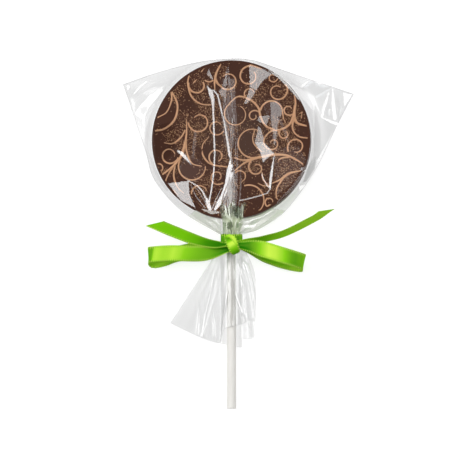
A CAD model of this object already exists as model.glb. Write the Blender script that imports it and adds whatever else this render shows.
# %% [markdown]
# # A chocolate lollipop in a tied film bag
#
# The object is a moulded dark chocolate disc with a gold scroll print, on a rolled paper stick,
# inside a clear film bag that is gathered under the disc and tied with a green satin ribbon.
# The solids come from the CAD frame, in metres: +X is to the right, +Y from the stick to the top
# of the disc, and +Z up out of the printed face. Every visible piece is made here, in place.

import math

import bpy
import numpy as np
from mathutils import Matrix, Vector


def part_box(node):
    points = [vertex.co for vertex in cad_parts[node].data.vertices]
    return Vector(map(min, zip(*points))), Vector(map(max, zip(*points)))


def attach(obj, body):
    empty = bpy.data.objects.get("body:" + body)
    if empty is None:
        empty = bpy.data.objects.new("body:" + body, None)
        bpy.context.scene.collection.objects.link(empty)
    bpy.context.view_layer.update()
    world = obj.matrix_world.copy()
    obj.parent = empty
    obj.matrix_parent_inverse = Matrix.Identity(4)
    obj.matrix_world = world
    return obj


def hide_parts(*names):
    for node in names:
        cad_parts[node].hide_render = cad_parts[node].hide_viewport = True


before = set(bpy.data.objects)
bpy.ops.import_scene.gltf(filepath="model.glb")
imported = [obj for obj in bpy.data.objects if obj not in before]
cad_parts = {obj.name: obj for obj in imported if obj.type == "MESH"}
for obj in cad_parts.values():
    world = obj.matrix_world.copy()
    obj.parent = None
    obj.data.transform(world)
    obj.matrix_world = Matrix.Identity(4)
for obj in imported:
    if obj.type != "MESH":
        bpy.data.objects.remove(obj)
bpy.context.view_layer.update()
MM = 0.001
disc_low, disc_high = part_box("chocolate_disc")
DISC_RADIUS = (disc_high.x - disc_low.x) / 2 / MM
BACK_Z = disc_low.z / MM
FACE_Z = disc_high.z / MM
stick_low, stick_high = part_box("stick")
STICK_RADIUS = (stick_high.x - stick_low.x) / 2 / MM
AXIS_Z = (stick_low.z + stick_high.z) / 2 / MM
print(f"disc {2 * DISC_RADIUS:.1f} mm, face at {FACE_Z:.1f} mm, stick axis at {AXIS_Z:.2f} mm")

# %% [markdown]
# ## Camera
#
# The lollipop lies on its back, so the camera looks down on it, from a little to the right and a
# little below, which is why the disc's rim shows at the lower right. A camera could be turned by
# angles, but here its three axes are worked out from the direction it looks in, which keeps the
# picture upright. A long lens from far away keeps the disc round.

# %% Camera
CAMERA_RIGHT, CAMERA_BELOW = math.radians(6), math.radians(4)
CAMERA_DISTANCE = 800 * MM
CAMERA_AIM = Vector((-0.7, -39.9, 4.5)) * MM
towards_camera = Vector((math.tan(CAMERA_RIGHT), -math.tan(CAMERA_BELOW), 1)).normalized()
camera_data = bpy.data.cameras.new("camera")
camera_data.lens = 141.7
camera = bpy.data.objects.new("camera", camera_data)
bpy.context.scene.collection.objects.link(camera)
camera_x = Vector((0, 1, 0)).cross(towards_camera).normalized()
camera_y = towards_camera.cross(camera_x)
turn = Matrix((camera_x, camera_y, towards_camera)).transposed().to_4x4()
camera.matrix_world = Matrix.Translation(CAMERA_AIM + towards_camera * CAMERA_DISTANCE) @ turn
bpy.context.scene.camera = camera
print("camera at", [round(v, 3) for v in camera.location])

# %% [markdown]
# ## Helpers for node trees
#
# A finish is a small tree of nodes, and so is a Geometry Nodes modifier. Built by hand in the
# editor, each node takes a few clicks. Built in a script, it takes a few lines, so what repeats is
# kept here: adding a node, working out a number, mixing two colours and reading a mark that a
# mesh carries on its points.

# %% Helpers for node trees
def new_material(name):
    material = bpy.data.materials.new(name)
    material.use_nodes = True
    material.node_tree.nodes.clear()
    print("material:", name)
    return material, material.node_tree


def set_or_link(tree, socket, value):
    if isinstance(value, bpy.types.NodeSocket):
        tree.links.new(value, socket)
    else:
        socket.default_value = value


def add_node(tree, kind, **inputs):
    """A node of a kind, with its named inputs set to values or linked to sockets."""
    node = tree.nodes.new(kind)
    for name, value in inputs.items():
        socket = node.inputs[int(name[1:])] if name[0] == "i" and name[1:].isdigit() else None
        set_or_link(tree, socket or node.inputs[name.replace("_", " ")], value)
    return node


def worked_out(tree, operation, *values):
    """The result of a sum, product or power of numbers and sockets."""
    node = tree.nodes.new("ShaderNodeMath")
    node.operation = operation
    for socket, value in zip(node.inputs, values):
        set_or_link(tree, socket, value)
    return node.outputs[0]


def read_mark(tree, name, output="Fac"):
    """What the mesh says about each of its points under a name."""
    mark = tree.nodes.new("ShaderNodeAttribute")
    mark.attribute_name = name
    return mark.outputs[output]


def show(tree, shader):
    output = tree.nodes.new("ShaderNodeOutputMaterial")
    tree.links.new(shader, output.inputs["Surface"])


def bumped(tree, height, strength, distance):
    bump = add_node(tree, "ShaderNodeBump", Height=height, Strength=strength, Distance=distance)
    return bump.outputs["Normal"]


def two_colours(tree, factor, first, second):
    """A colour between two, by a factor socket. The first may be a socket too."""
    mix = tree.nodes.new("ShaderNodeMix")
    mix.data_type = "RGBA"
    tree.links.new(factor, mix.inputs["Factor"])
    for socket, colour in zip([s for s in mix.inputs if s.type == "RGBA"], (first, second)):
        set_or_link(tree, socket, (*colour, 1) if isinstance(colour, tuple) else colour)
    return [s for s in mix.outputs if s.type == "RGBA"][0]


def edge_on_factor(tree, head_on, grazing):
    """A mirror's strength that grows from its head-on value to its grazing one, and how steeply
    the surface is met. It goes by the angle alone, so both sides of a sheet give the same."""
    steepness = add_node(tree, "ShaderNodeLayerWeight", Blend=0.5).outputs["Facing"]
    steep = worked_out(tree, "POWER", steepness, 5)
    return worked_out(tree, "MULTIPLY_ADD", steep, grazing - head_on, head_on), steepness


# %% [markdown]
# ## Floor and lamps
#
# The photo was taken on a white light table, so the floor is white with a glow of its own and
# nothing casts a hard shadow on it. Clear film is seen by what it mirrors: a soft panel at each
# side and a small cool one beyond the top light only the creases that tilt their way, and a dim
# sky leaves the flat film clear. One lamp with a picture of the whole room could do the same, but
# panels can be moved one by one. The two lamps that light the chocolate and the ribbon are kept
# out of mirrors, or they would wash over the bag's corners.

# %% Floor
FLOOR_REACH = 3000


def make_floor():
    reach = FLOOR_REACH * MM
    mesh = bpy.data.meshes.new("floor")
    corners = [(-reach, -reach, 0), (reach, -reach, 0), (reach, reach, 0), (-reach, reach, 0)]
    mesh.from_pydata(corners, [], [(0, 1, 2, 3)])
    floor = bpy.data.objects.new("floor", mesh)
    bpy.context.scene.collection.objects.link(floor)
    material, tree = new_material("plain pale floor")
    white = add_node(tree, "ShaderNodeBsdfDiffuse", Color=(0.3, 0.3, 0.3, 1))
    glow = add_node(tree, "ShaderNodeEmission", Color=(1, 1, 1, 1), Strength=0.80)
    both = add_node(tree, "ShaderNodeAddShader", i0=white.outputs[0], i1=glow.outputs[0])
    show(tree, both.outputs[0])
    mesh.materials.append(material)
    print("floor", 2 * FLOOR_REACH, "mm across")


make_floor()

# %% Lamps
LAMP_AIM = Vector((0, -20, 0)) * MM
SKY_STRENGTH = 0.07


def make_lamp(name, azimuth, tilt, distance, size, watts, mirrored=True, colour=(1, 1, 1)):
    """A square soft lamp that looks at the disc; tilt is measured down from straight overhead."""
    data = bpy.data.lights.new(name, "AREA")
    data.shape = "RECTANGLE"
    data.size, data.size_y = size
    data.energy = watts
    data.color = colour
    lamp = bpy.data.objects.new(name, data)
    bpy.context.scene.collection.objects.link(lamp)
    around, down = math.radians(azimuth), math.radians(tilt)
    flat = math.sin(down)
    place = Vector((flat * math.cos(around), flat * math.sin(around), math.cos(down)))
    lamp.location = place * distance + LAMP_AIM
    lamp.rotation_euler = place.to_track_quat("Z", "Y").to_euler()
    lamp.visible_glossy = mirrored


make_lamp("overhead fill", 100, 12, 1.6, (1.6, 1.6), 14, mirrored=False)
make_lamp("soft key", 140, 50, 1.4, (0.8, 0.8), 5, mirrored=False)
make_lamp("left panel", 176, 38, 1.3, (0.55, 0.77), 4)
make_lamp("right panel", 8, 38, 1.3, (0.55, 0.77), 4)
make_lamp("top panel", 92, 42, 1.3, (0.5, 0.4), 1.5, colour=(0.86, 0.93, 1))

world = bpy.data.worlds.new("dim sky")
bpy.context.scene.world = world
world.use_nodes = True
sky = world.node_tree.nodes["Background"]
sky.inputs["Color"].default_value = (1, 1, 1, 1)
sky.inputs["Strength"].default_value = SKY_STRENGTH
bpy.context.scene.view_settings.view_transform = "Standard"

# %% [markdown]
# ## Making meshes
#
# Most pieces are sheets: a grid of points that a rule puts in place. Modifiers could bend and
# thicken a plain grid, but points that are worked out land exactly where the solids say. A grid
# can be closed into a thin shell, which keeps each mesh watertight, so that it also works as a
# model on its own.

# %% Mesh helpers
def add_piece(name, points, faces, material, replaces):
    """A finished piece from points in millimetres, riding on the object."""
    mesh = bpy.data.meshes.new(name)
    mesh.from_pydata((np.asarray(points) * MM).tolist(), [], [tuple(f) for f in faces])
    mesh.validate()
    mesh.polygons.foreach_set("use_smooth", [True] * len(mesh.polygons))
    mesh.materials.append(material)
    piece = bpy.data.objects.new(name, mesh)
    bpy.context.scene.collection.objects.link(piece)
    return settle(piece, replaces)


def settle(piece, replaces=()):
    """Says what a piece rides on, which finish it takes and which solid it stands for."""
    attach(piece, "root")
    if replaces:
        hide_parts(*replaces)
    print(f"{piece.name}: {len(piece.data.polygons)} faces")
    return piece


def grid_faces(rows, columns, first=0, flip=False):
    """Quads over a grid of rows by columns of points, counted row by row."""
    r, c = np.meshgrid(np.arange(rows - 1), np.arange(columns - 1), indexing="ij")
    a = first + (r * columns + c).ravel()
    quads = np.stack([a, a + 1, a + columns + 1, a + columns], axis=1)
    return quads[:, ::-1] if flip else quads


def grid_rim(rows, columns, first=0):
    """The numbers of the points all round a grid's edge, in order."""
    index = first + np.arange(rows * columns).reshape(rows, columns)
    return np.concatenate([index[0, :-1], index[:-1, -1], index[-1, :0:-1], index[:0:-1, 0]])


def closed_shell(top, bottom):
    """Points and faces of a thin closed shell between two like grids, both (rows, columns, 3)."""
    rows, columns = top.shape[:2]
    count = rows * columns
    rim = grid_rim(rows, columns)
    after = np.roll(rim, -1)
    sides = np.stack([rim, rim + count, after + count, after], axis=1)
    layers = [grid_faces(rows, columns), grid_faces(rows, columns, count, True)]
    points = np.concatenate([top.reshape(-1, 3), bottom.reshape(-1, 3)])
    return points, np.concatenate([*layers, sides])


def smoothstep(x, low, high):
    """0 below low, 1 above high, and a smooth rise between them."""
    t = np.clip((x - low) / (high - low), 0, 1)
    return t * t * (3 - 2 * t)


def spline(points, count):
    """Evenly spaced points on a Catmull-Rom curve through the given ones."""
    p = np.asarray(points, float)
    p = np.concatenate([2 * p[:1] - p[1:2], p, 2 * p[-1:] - p[-2:-1]])
    t = np.linspace(0, 1, 41)[:, None]
    dense = []
    for a, b, c, d in zip(p, p[1:], p[2:], p[3:]):
        bend, twist = 2 * a - 5 * b + 4 * c - d, 3 * b - a - 3 * c + d
        dense.append((2 * b + (c - a) * t + bend * t**2 + twist * t**3)[:-1] / 2)
    dense.append(p[-2:-1])
    dense = np.concatenate(dense)
    run = np.concatenate([[0], np.cumsum(np.linalg.norm(np.diff(dense, axis=0), axis=1))])
    at = np.linspace(0, run[-1], count)
    return np.stack([np.interp(at, run, dense[:, k]) for k in range(p.shape[1])], axis=1)


# %% [markdown]
# ## Chocolate disc
#
# The disc was poured into a round mould with the stick laid in it, so its printed side is flat and
# glossy where it met the mould, its rim has a little draft, and its edges are only just rounded.
# It could be a cylinder with a bevel, but a turned profile also gives the flat faces rings of
# points, so that they can be the least bit uneven: perfect flats look like plastic.

# %% Chocolate material
CHOCOLATE_DARK, CHOCOLATE_LIGHT = (0.050, 0.0122, 0.0032), (0.079, 0.0218, 0.0088)


def chocolate_material():
    material, tree = new_material("dark chocolate")
    place = add_node(tree, "ShaderNodeTexCoord").outputs["Object"]
    cloud = add_node(tree, "ShaderNodeTexNoise", Vector=place, Scale=90.0, Detail=3.0)
    colour = two_colours(tree, cloud.outputs["Fac"], CHOCOLATE_DARK, CHOCOLATE_LIGHT)
    fine = add_node(tree, "ShaderNodeTexNoise", Vector=place, Scale=900.0, Detail=4.0)
    normal = bumped(tree, fine.outputs["Fac"], 0.12, 0.0002)
    matt = add_node(tree, "ShaderNodeBsdfPrincipled", Base_Color=colour, Roughness=0.5, Normal=normal)
    matt.inputs["Specular IOR Level"].default_value = 0.0
    gloss = add_node(tree, "ShaderNodeBsdfGlossy", Color=(1, 1, 1, 1), Roughness=0.34, Normal=normal)
    mirror, _ = edge_on_factor(tree, 0.015, 0.22)
    skin = add_node(tree, "ShaderNodeMixShader", Fac=mirror, i1=matt.outputs[0], i2=gloss.outputs[0])
    show(tree, skin.outputs[0])
    return material


# %% Chocolate disc
SWELL = 0.2  # the chocolate fills its mould right to the edge
DRAFT = 0.05  # how much narrower the face is than the back, on each side
EDGE = 0.25  # rounding of the rims
DISC_SIDES = 240
FACE_RINGS = 26


def disc_profile():
    """Radius and height pairs, from the back's middle, round the rim, to the face's middle."""
    corner = np.linspace(0, math.pi / 2, 6)
    widest = DISC_RADIUS + SWELL
    low = np.stack([widest - EDGE * (1 - np.sin(corner)), BACK_Z + EDGE * (1 - np.cos(corner))], 1)
    front = widest - DRAFT
    high = np.stack([front - EDGE * (1 - np.cos(corner)), FACE_Z - EDGE * (1 - np.sin(corner))], 1)
    flat = np.linspace(0.03, 1, FACE_RINGS)
    back_rings = np.stack([flat[:-1] * low[0, 0], np.full(FACE_RINGS - 1, BACK_Z)], 1)
    face_rings = np.stack([flat[-2::-1] * high[-1, 0], np.full(FACE_RINGS - 1, FACE_Z)], 1)
    return np.concatenate([back_rings, low, high, face_rings])


def make_disc(material):
    profile = disc_profile()
    around = np.linspace(0, 2 * math.pi, DISC_SIDES, endpoint=False)
    radius, height = profile[:, :1], profile[:, 1:]
    x, y = radius * np.cos(around), radius * np.sin(around)
    uneven = 0.02 * np.sin(0.21 * x + 1.1) * np.sin(0.17 * y) + 0.012 * np.sin(0.5 * x - 0.4 * y)
    ripple = 0.03 * np.sin(0.9 * radius + 0.3 * np.sin(2 * around))
    back_ripple = np.where(height < BACK_Z + 0.01, ripple, 0)
    rings = np.stack([x, y, height + uneven + back_ripple], axis=2)
    count = len(profile)
    points = np.concatenate([rings.reshape(-1, 3), [[0, 0, BACK_Z], [0, 0, FACE_Z]]])
    index = np.arange(count * DISC_SIDES).reshape(count, DISC_SIDES)
    after = np.roll(index, -1, axis=1)
    wall = np.stack([index[:-1], after[:-1], after[1:], index[1:]], axis=2).reshape(-1, 4)
    under = [(count * DISC_SIDES, b, a) for a, b in zip(index[0], after[0])]
    over = [(count * DISC_SIDES + 1, a, b) for a, b in zip(index[-1], after[-1])]
    faces = [*wall.tolist(), *under, *over]
    add_piece("chocolate_disc_fine", points, faces, material, ["chocolate_disc"])


make_disc(chocolate_material())

# %% [markdown]
# ## Gold scroll print
#
# The gold comes off a transfer sheet: coloured cocoa butter that stays on the chocolate as a film
# with a thickness of its own, in tapering stems that end in curls. Painting it in the material
# would need an image; flat strips along curves keep the edges crisp at any distance. Each stroke
# is a curve with a width at every point, and Geometry Nodes sweep a flat profile along all of them.

# %% Strokes of the print
# A curl is (x, y, outer radius, inner radius, start angle, sweep, width), in mm and degrees.
CURLS = [
    (-14.6, 24.3, 4.3, 2.2, 165, 355, 0.8), (-1.1, 25.8, 4.0, 3.2, 205, 295, 0.75),
    (-9.9, 28.2, 2.8, 1.8, 320, -270, 0.65), (-13.9, 7.8, 5.0, 3.1, 182, 318, 0.75),
    (-6.4, 5.3, 3.7, 2.4, 335, -312, 0.6), (8.2, 27.8, 4.7, 2.9, 84, 322, 0.8),
    (8.5, 20.3, 3.0, 1.8, 272, -262, 0.65), (2.4, 10.9, 5.6, 4.1, 118, 305, 0.6),
    (10.2, 10.0, 3.1, 1.0, 25, 372, 0.65), (18.2, 11.9, 5.0, 4.7, 172, -182, 0.8),
    (20.6, 21.0, 5.0, 2.3, 40, -350, 0.75), (18.6, 27.1, 2.3, 1.2, 350, -300, 0.55),
    (25.6, 12.7, 2.8, 1.4, 328, -312, 0.7), (23.8, 2.0, 2.7, 1.4, 128, 292, 0.75),
    (9.6, -1.6, 7.0, 5.9, 300, -236, 0.75), (-27.3, -6.8, 4.2, 2.5, 345, -330, 0.8),
    (-32.1, -12.5, 2.0, 1.9, 125, -180, 0.6), (-17.0, -12.0, 6.3, 5.8, 150, 212, 0.75),
    (-6.3, -7.6, 3.7, 2.3, 245, -315, 0.7), (-6.0, -16.6, 3.8, 1.6, 315, -380, 0.55),
    (-14.0, -24.0, 3.4, 3.6, 185, -165, 0.65), (11.6, -12.9, 4.1, 1.5, 129, 360, 0.75),
    (4.3, -16.7, 2.9, 2.1, 145, -220, 0.6), (29.0, -3.7, 4.1, 2.4, 212, -325, 0.75),
    (18.7, -1.9, 4.4, 1.0, 148, 400, 0.7), (17.2, -27.9, 2.6, 1.4, 294, -300, 0.65),
    (8.0, -27.0, 6.6, 6.7, 108, -155, 0.7),
]
# A stem is its points and its widths at the start, in the middle and at the end.
STEMS = [
    ([(-26.2, 21.5), (-23.7, 15.5), (-25, 9), (-29.5, 5), (-34.0, 4.1)], (0.7, 1.0, 0.8)),
    ([(-26.4, 21.4), (-26.4, 17.5), (-28.6, 12.4), (-32.8, 10)], (0.8, 0.6, 0.5)),
    ([
        (-18.5, 28.7), (-19.1, 26), (-18.9, 23.5), (-17.4, 19.2), (-13.6, 16), (-8.6, 15.3),
    ], (0.6, 0.8, 0.4)),
    ([(-4.3, 33.6), (-6.2, 30), (-7.1, 26), (-7, 22)], (0.5, 1.1, 0.4)),
    ([(-7, 28), (-6, 25.2), (-4.6, 23.7)], (0.6, 1.1, 0.7)),
    ([(-11.3, 32.0), (-12.9, 30.4), (-13.6, 28.2)], (0.3, 0.5, 0.3)),
    ([
        (-19.7, 9.2), (-19.6, 4), (-20.3, -1.5), (-22.3, -7.8), (-26, -12), (-31.0, -15.8),
    ], (0.3, 1.3, 0.7)),
    ([(-19.9, 1), (-19.6, -5), (-17.3, -10.4), (-12.8, -11.9)], (0.8, 0.7, 0.4)),
    ([(-20.2, 4.4), (-22.2, 1), (-25.8, -1.6), (-29.7, -1.2)], (0.6, 0.8, 0.3)),
    ([(-24.8, -10.8), (-27.3, -14.5), (-29.2, -18.6)], (0.9, 0.7, 0.4)),
    ([(-24.6, -10.4), (-25.3, -16), (-23.6, -21), (-20.8, -23.7)], (0.7, 0.8, 0.3)),
    ([
        (-0.5, 16), (3.3, 18.9), (8.2, 17.7), (12.2, 14), (13.2, 10), (15.4, 5.8), (19.6, 3.7),
    ], (0.6, 1.0, 0.8)),
    ([(8.4, 33.0), (11, 32.3), (14.3, 31.2)], (0.7, 0.7, 0.4)),
    ([(28.2, 19.2), (28.7, 15.6), (28.1, 10.8), (29.3, 6.9), (34.0, 5.3)], (0.5, 1.4, 0.7)),
    ([(28, 10.5), (26, 6.2), (22, 3.9), (17.8, 3.3), (15, 0.6)], (1.1, 0.9, 0.6)),
    ([(27.6, 8.8), (27.5, 4), (30, 0.9), (34.3, 0)], (1.0, 0.7, 0.6)),
    ([(30.3, 10.9), (32.7, 12)], (0.3, 0.4, 0.3)),
    ([(31.5, 11.3), (31.3, 8.8)], (0.3, 0.4, 0.3)),
    ([(23, 11.5), (23.4, 9), (24.3, 6.8)], (0.6, 0.4, 0.3)),
    ([(10.9, 4.3), (9.8, 0.8), (10.6, -2.6), (14, -5.9)], (0.3, 0.6, 0.5)),
    ([
        (1.5, -8.2), (6, -9.4), (12.5, -8.3), (18.7, -7.2), (24.5, -7.4), (28.6, -9.2),
        (32.2, -11.6),
    ], (0.5, 1.3, 0.6)),
    ([(1.8, -14), (5.8, -10.8), (10.5, -8.8), (14.5, -7.9)], (0.6, 0.9, 1.2)),
    ([(26, -8.2), (22.2, -8.8), (19.1, -11.2)], (0.9, 0.7, 0.4)),
    ([(31, -14.3), (26, -15.4), (22.2, -18), (18.3, -19.7)], (0.6, 1.2, 0.5)),
    ([(23.2, -17.4), (20.4, -22), (20.2, -26), (21.2, -27.0)], (0.9, 0.7, 0.5)),
    ([(13.9, -14.8), (14.3, -18), (16.8, -20.6)], (0.5, 0.6, 0.4)),
    ([(12, -19.6), (14.6, -20.8), (17.3, -20.9)], (0.3, 0.5, 0.3)),
    ([(-9.6, 1.1), (-12.4, -2.2), (-12.3, -7), (-8.8, -10.9), (-1.4, -12.4)], (0.3, 0.8, 0.5)),
    ([(-26.4, -22.0), (-25.0, -22.8), (-23.7, -24.6)], (0.3, 0.5, 0.3)),
]
CURL_STEP = 9  # degrees between points
STEM_POINTS = 26


def curl_points(curl):
    x, y, outer, inner, start, sweep, width = curl
    t = np.linspace(0, 1, max(8, round(abs(sweep) / CURL_STEP)))
    angle = np.radians(start + sweep * t)
    radius = outer + (inner - outer) * (1 - (1 - t) ** 1.6)
    line = np.stack([x + radius * np.cos(angle), y + radius * np.sin(angle)], axis=1)
    return line, width * (1 - 0.45 * t**2)


def stem_points(stem):
    points, widths = stem
    return spline(points, STEM_POINTS), np.interp(np.linspace(0, 1, STEM_POINTS), [0, 0.5, 1], widths)


strokes = [curl_points(c) for c in CURLS] + [stem_points(s) for s in STEMS]
print(len(strokes), "strokes of print")

# %% Gold material
def gold_material(name, light, dark):
    material, tree = new_material(name)
    place = add_node(tree, "ShaderNodeTexCoord").outputs["Object"]
    grain = add_node(tree, "ShaderNodeTexNoise", Vector=place, Scale=700.0, Detail=5.0)
    colour = two_colours(tree, grain.outputs["Fac"], dark, light)
    normal = bumped(tree, grain.outputs["Fac"], 0.2, 0.0001)
    skin = add_node(tree, "ShaderNodeBsdfPrincipled", Base_Color=colour, Roughness=0.42, Normal=normal)
    skin.inputs["Metallic"].default_value = 0.15
    show(tree, skin.outputs[0])
    return material


gold = gold_material("gold cocoa butter", (0.79, 0.445, 0.25), (0.60, 0.31, 0.16))

# %% [markdown]
# ## Sweeping the strokes
#
# On the real sheet the gold has an even thickness and a width that swells and tapers. A curve's
# own bevel gives every point a round or flat profile too, but its thickness then grows with its
# width. In Geometry Nodes the profile is a rectangle whose width follows the curve's radius, with
# the thickness as a named input. The tree ends in Realize Instances and Set Material, and its
# result is turned into a plain mesh, so nothing is left to work out later.

# %% Helpers for Geometry Nodes
def tree_with_inputs(name, **inputs):
    """An empty Geometry Nodes tree with its input and output nodes and named number inputs."""
    tree = bpy.data.node_groups.new(name, "GeometryNodeTree")
    tree.interface.new_socket("Geometry", in_out="INPUT", socket_type="NodeSocketGeometry")
    tree.interface.new_socket("Geometry", in_out="OUTPUT", socket_type="NodeSocketGeometry")
    kinds = {float: "NodeSocketFloat", int: "NodeSocketInt", bpy.types.Material: "NodeSocketMaterial"}
    for label, kind in inputs.items():
        tree.interface.new_socket(label.replace("_", " "), in_out="INPUT", socket_type=kinds[kind])
    return tree, tree.nodes.new("NodeGroupInput"), tree.nodes.new("NodeGroupOutput")


def finish_tree(tree, given, result, geometry):
    """Ends a tree in Realize Instances and Set Material."""
    real = add_node(tree, "GeometryNodeRealizeInstances", Geometry=geometry)
    painted = add_node(
        tree,
        "GeometryNodeSetMaterial",
        Geometry=real.outputs["Geometry"],
        Material=given.outputs["Material"],
    )
    tree.links.new(painted.outputs["Geometry"], result.inputs["Geometry"])


def baked(carrier, tree, name, **values):
    """The plain mesh that a Geometry Nodes tree makes on a carrier, which is then removed."""
    modifier = carrier.modifiers.new(tree.name, "NODES")
    modifier.node_group = tree
    for item in tree.interface.items_tree:
        key = item.name.replace(" ", "_")
        if item.in_out == "INPUT" and key in values:
            modifier[item.identifier] = values[key]
    bpy.context.view_layer.update()
    depsgraph = bpy.context.evaluated_depsgraph_get()
    mesh = bpy.data.meshes.new_from_object(carrier.evaluated_get(depsgraph))
    mesh.name = name
    bpy.data.objects.remove(carrier)
    piece = bpy.data.objects.new(name, mesh)
    bpy.context.scene.collection.objects.link(piece)
    return piece


# %% Sweep the strokes
PRINT_THICKNESS = 0.05
PRINT_LIFT = 0.01  # how far the print's middle lies above the face
PRINT_EDGE_GAP = 1.0  # the print stops this far inside the disc's edge


def stroke_tree():
    tree, given, result = tree_with_inputs(
        "Printed stroke", Thickness=float, Material=bpy.types.Material
    )
    level = tree.nodes.new("GeometryNodeSetCurveNormal")
    level.mode = "Z_UP"
    tree.links.new(given.outputs["Geometry"], level.inputs["Curve"])
    profile = add_node(tree, "GeometryNodeCurvePrimitiveQuadrilateral", Width=1.0)
    tree.links.new(given.outputs["Thickness"], profile.inputs["Height"])
    width = tree.nodes.new("GeometryNodeInputRadius")
    sweep = add_node(
        tree,
        "GeometryNodeCurveToMesh",
        Curve=level.outputs["Curve"],
        Profile_Curve=profile.outputs["Curve"],
        Scale=width.outputs["Radius"],
        Fill_Caps=True,
    )
    finish_tree(tree, given, result, sweep.outputs["Mesh"])
    return tree


def stroke_curves():
    data = bpy.data.curves.new("strokes", "CURVE")
    data.dimensions = "3D"
    limit = DISC_RADIUS - DRAFT - PRINT_EDGE_GAP
    for line, widths in strokes:
        reach = np.linalg.norm(line, axis=1)
        line = line * np.minimum(1, limit / np.maximum(reach, 1e-6))[:, None]
        row = data.splines.new("POLY")
        row.points.add(len(line) - 1)
        for point, (x, y), width in zip(row.points, line, widths):
            point.co = (x * MM, y * MM, (FACE_Z + PRINT_LIFT) * MM, 1)
            point.radius = width * MM
    carrier = bpy.data.objects.new("strokes", data)
    bpy.context.scene.collection.objects.link(carrier)
    return carrier


scroll = baked(
    stroke_curves(), stroke_tree(), "scroll_print", Thickness=PRINT_THICKNESS, Material=gold
)
settle(scroll)

# %% [markdown]
# ## Gold speckle
#
# Between the curls the same sheet leaves a fine spatter of gold, thick in some areas and absent in
# others. Flecks could be painted in the material, but real ones catch the light one by one.
# Thousands of them are a job for Geometry Nodes: points scattered over the face, as thickly as a
# mark on a carrier grid says, and a tiny low pyramid with few faces on each.

# %% Scatter the flecks
FLECKS_PER_MM2 = 3.3
FLECK_SIZE = 0.46
FLECK_SPREAD = 1.7  # above 1 there are more small flecks than large ones
SPECKLE_EDGE_GAP = 1.2
SPECKLE_GRID = 91
# Places with hardly any flecks, as (x, y, radius).
CLEAN_AREAS = [
    (-30.0, 13.0, 6.5), (-27.5, -7.5, 6.5), (-32.0, -1.0, 4.0), (6.0, -1.5, 6.0),
    (4.0, 30.0, 6.5), (2.0, 10.5, 5.0), (-24.0, -21.0, 7.0), (-17.5, -12.5, 4.5),
    (-9.0, -5.0, 4.0), (10.0, -19.0, 5.5), (16.0, 11.5, 3.8), (33.0, -3.0, 3.5),
    (12.5, -29.0, 5.0),
]


def speckle_carrier():
    """A flat grid over the face whose points carry how thickly they are spattered."""
    reach = DISC_RADIUS - DRAFT - SPECKLE_EDGE_GAP
    line = np.linspace(-reach, reach, SPECKLE_GRID)
    x, y = np.meshgrid(line, line, indexing="xy")
    wave = np.sin(0.33 * x + 1.7 * np.sin(0.13 * y)) * np.sin(0.29 * y - 1.3 * np.sin(0.17 * x))
    amount = np.clip(0.62 + 0.75 * wave, 0.05, 1)
    for cx, cy, size in CLEAN_AREAS:
        amount *= 0.06 + 0.94 * smoothstep(np.hypot(x - cx, y - cy), size * 0.7, size * 1.1)
    # a dense cloud at the lower right
    amount = np.maximum(amount, 1.1 * np.exp(-(np.hypot(x - 24, y + 15) ** 2) / 60))
    amount[np.hypot(x, y) > reach] = 0
    mesh = bpy.data.meshes.new("speckle area")
    points = np.stack([x, y, np.full_like(x, FACE_Z)], axis=2).reshape(-1, 3) * MM
    mesh.from_pydata(points.tolist(), [], grid_faces(SPECKLE_GRID, SPECKLE_GRID).tolist())
    mesh.attributes.new("amount", "FLOAT", "POINT").data.foreach_set("value", amount.ravel())
    carrier = bpy.data.objects.new("speckle area", mesh)
    bpy.context.scene.collection.objects.link(carrier)
    return carrier


def speckle_tree():
    tree, given, result = tree_with_inputs(
        "Gold spatter", Density=float, Fleck=float, Seed=int, Material=bpy.types.Material
    )
    amount = tree.nodes.new("GeometryNodeInputNamedAttribute")
    amount.data_type = "FLOAT"
    amount.inputs["Name"].default_value = "amount"
    density = worked_out(tree, "MULTIPLY", amount.outputs["Attribute"], given.outputs["Density"])
    scatter = add_node(
        tree,
        "GeometryNodeDistributePointsOnFaces",
        Mesh=given.outputs["Geometry"],
        Density=density,
        Seed=given.outputs["Seed"],
    )
    fleck = tree.nodes.new("GeometryNodeMeshCone")
    fleck.inputs["Vertices"].default_value = 5
    fleck.inputs["Radius Top"].default_value = 0.0
    fleck.inputs["Radius Bottom"].default_value = 0.5
    fleck.inputs["Depth"].default_value = 0.3
    size = tree.nodes.new("FunctionNodeRandomValue")
    size.data_type = "FLOAT"
    numbers = [s for s in size.inputs if s.type == "VALUE"]
    numbers[0].default_value, numbers[1].default_value = 0.42, 1.0
    share = worked_out(tree, "POWER", [s for s in size.outputs if s.type == "VALUE"][0], FLECK_SPREAD)
    turn = tree.nodes.new("FunctionNodeRandomValue")
    turn.data_type = "FLOAT_VECTOR"
    vectors = [s for s in turn.inputs if s.type == "VECTOR"]
    vectors[0].default_value, vectors[1].default_value = (0, 0, 0), (0, 0, 2 * math.pi)
    placed = add_node(
        tree,
        "GeometryNodeInstanceOnPoints",
        Points=scatter.outputs["Points"],
        Instance=fleck.outputs["Mesh"],
        Rotation=[s for s in turn.outputs if s.type == "VECTOR"][0],
        Scale=worked_out(tree, "MULTIPLY", share, given.outputs["Fleck"]),
    )
    finish_tree(tree, given, result, placed.outputs["Instances"])
    return tree


speckle_gold = gold_material("gold spatter", (0.88, 0.52, 0.29), (0.58, 0.30, 0.14))
speckle = baked(
    speckle_carrier(),
    speckle_tree(),
    "gold_speckle",
    Density=FLECKS_PER_MM2 / MM**2,
    Fleck=FLECK_SIZE * MM,
    Seed=7,
    Material=speckle_gold,
)
settle(speckle)

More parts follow.
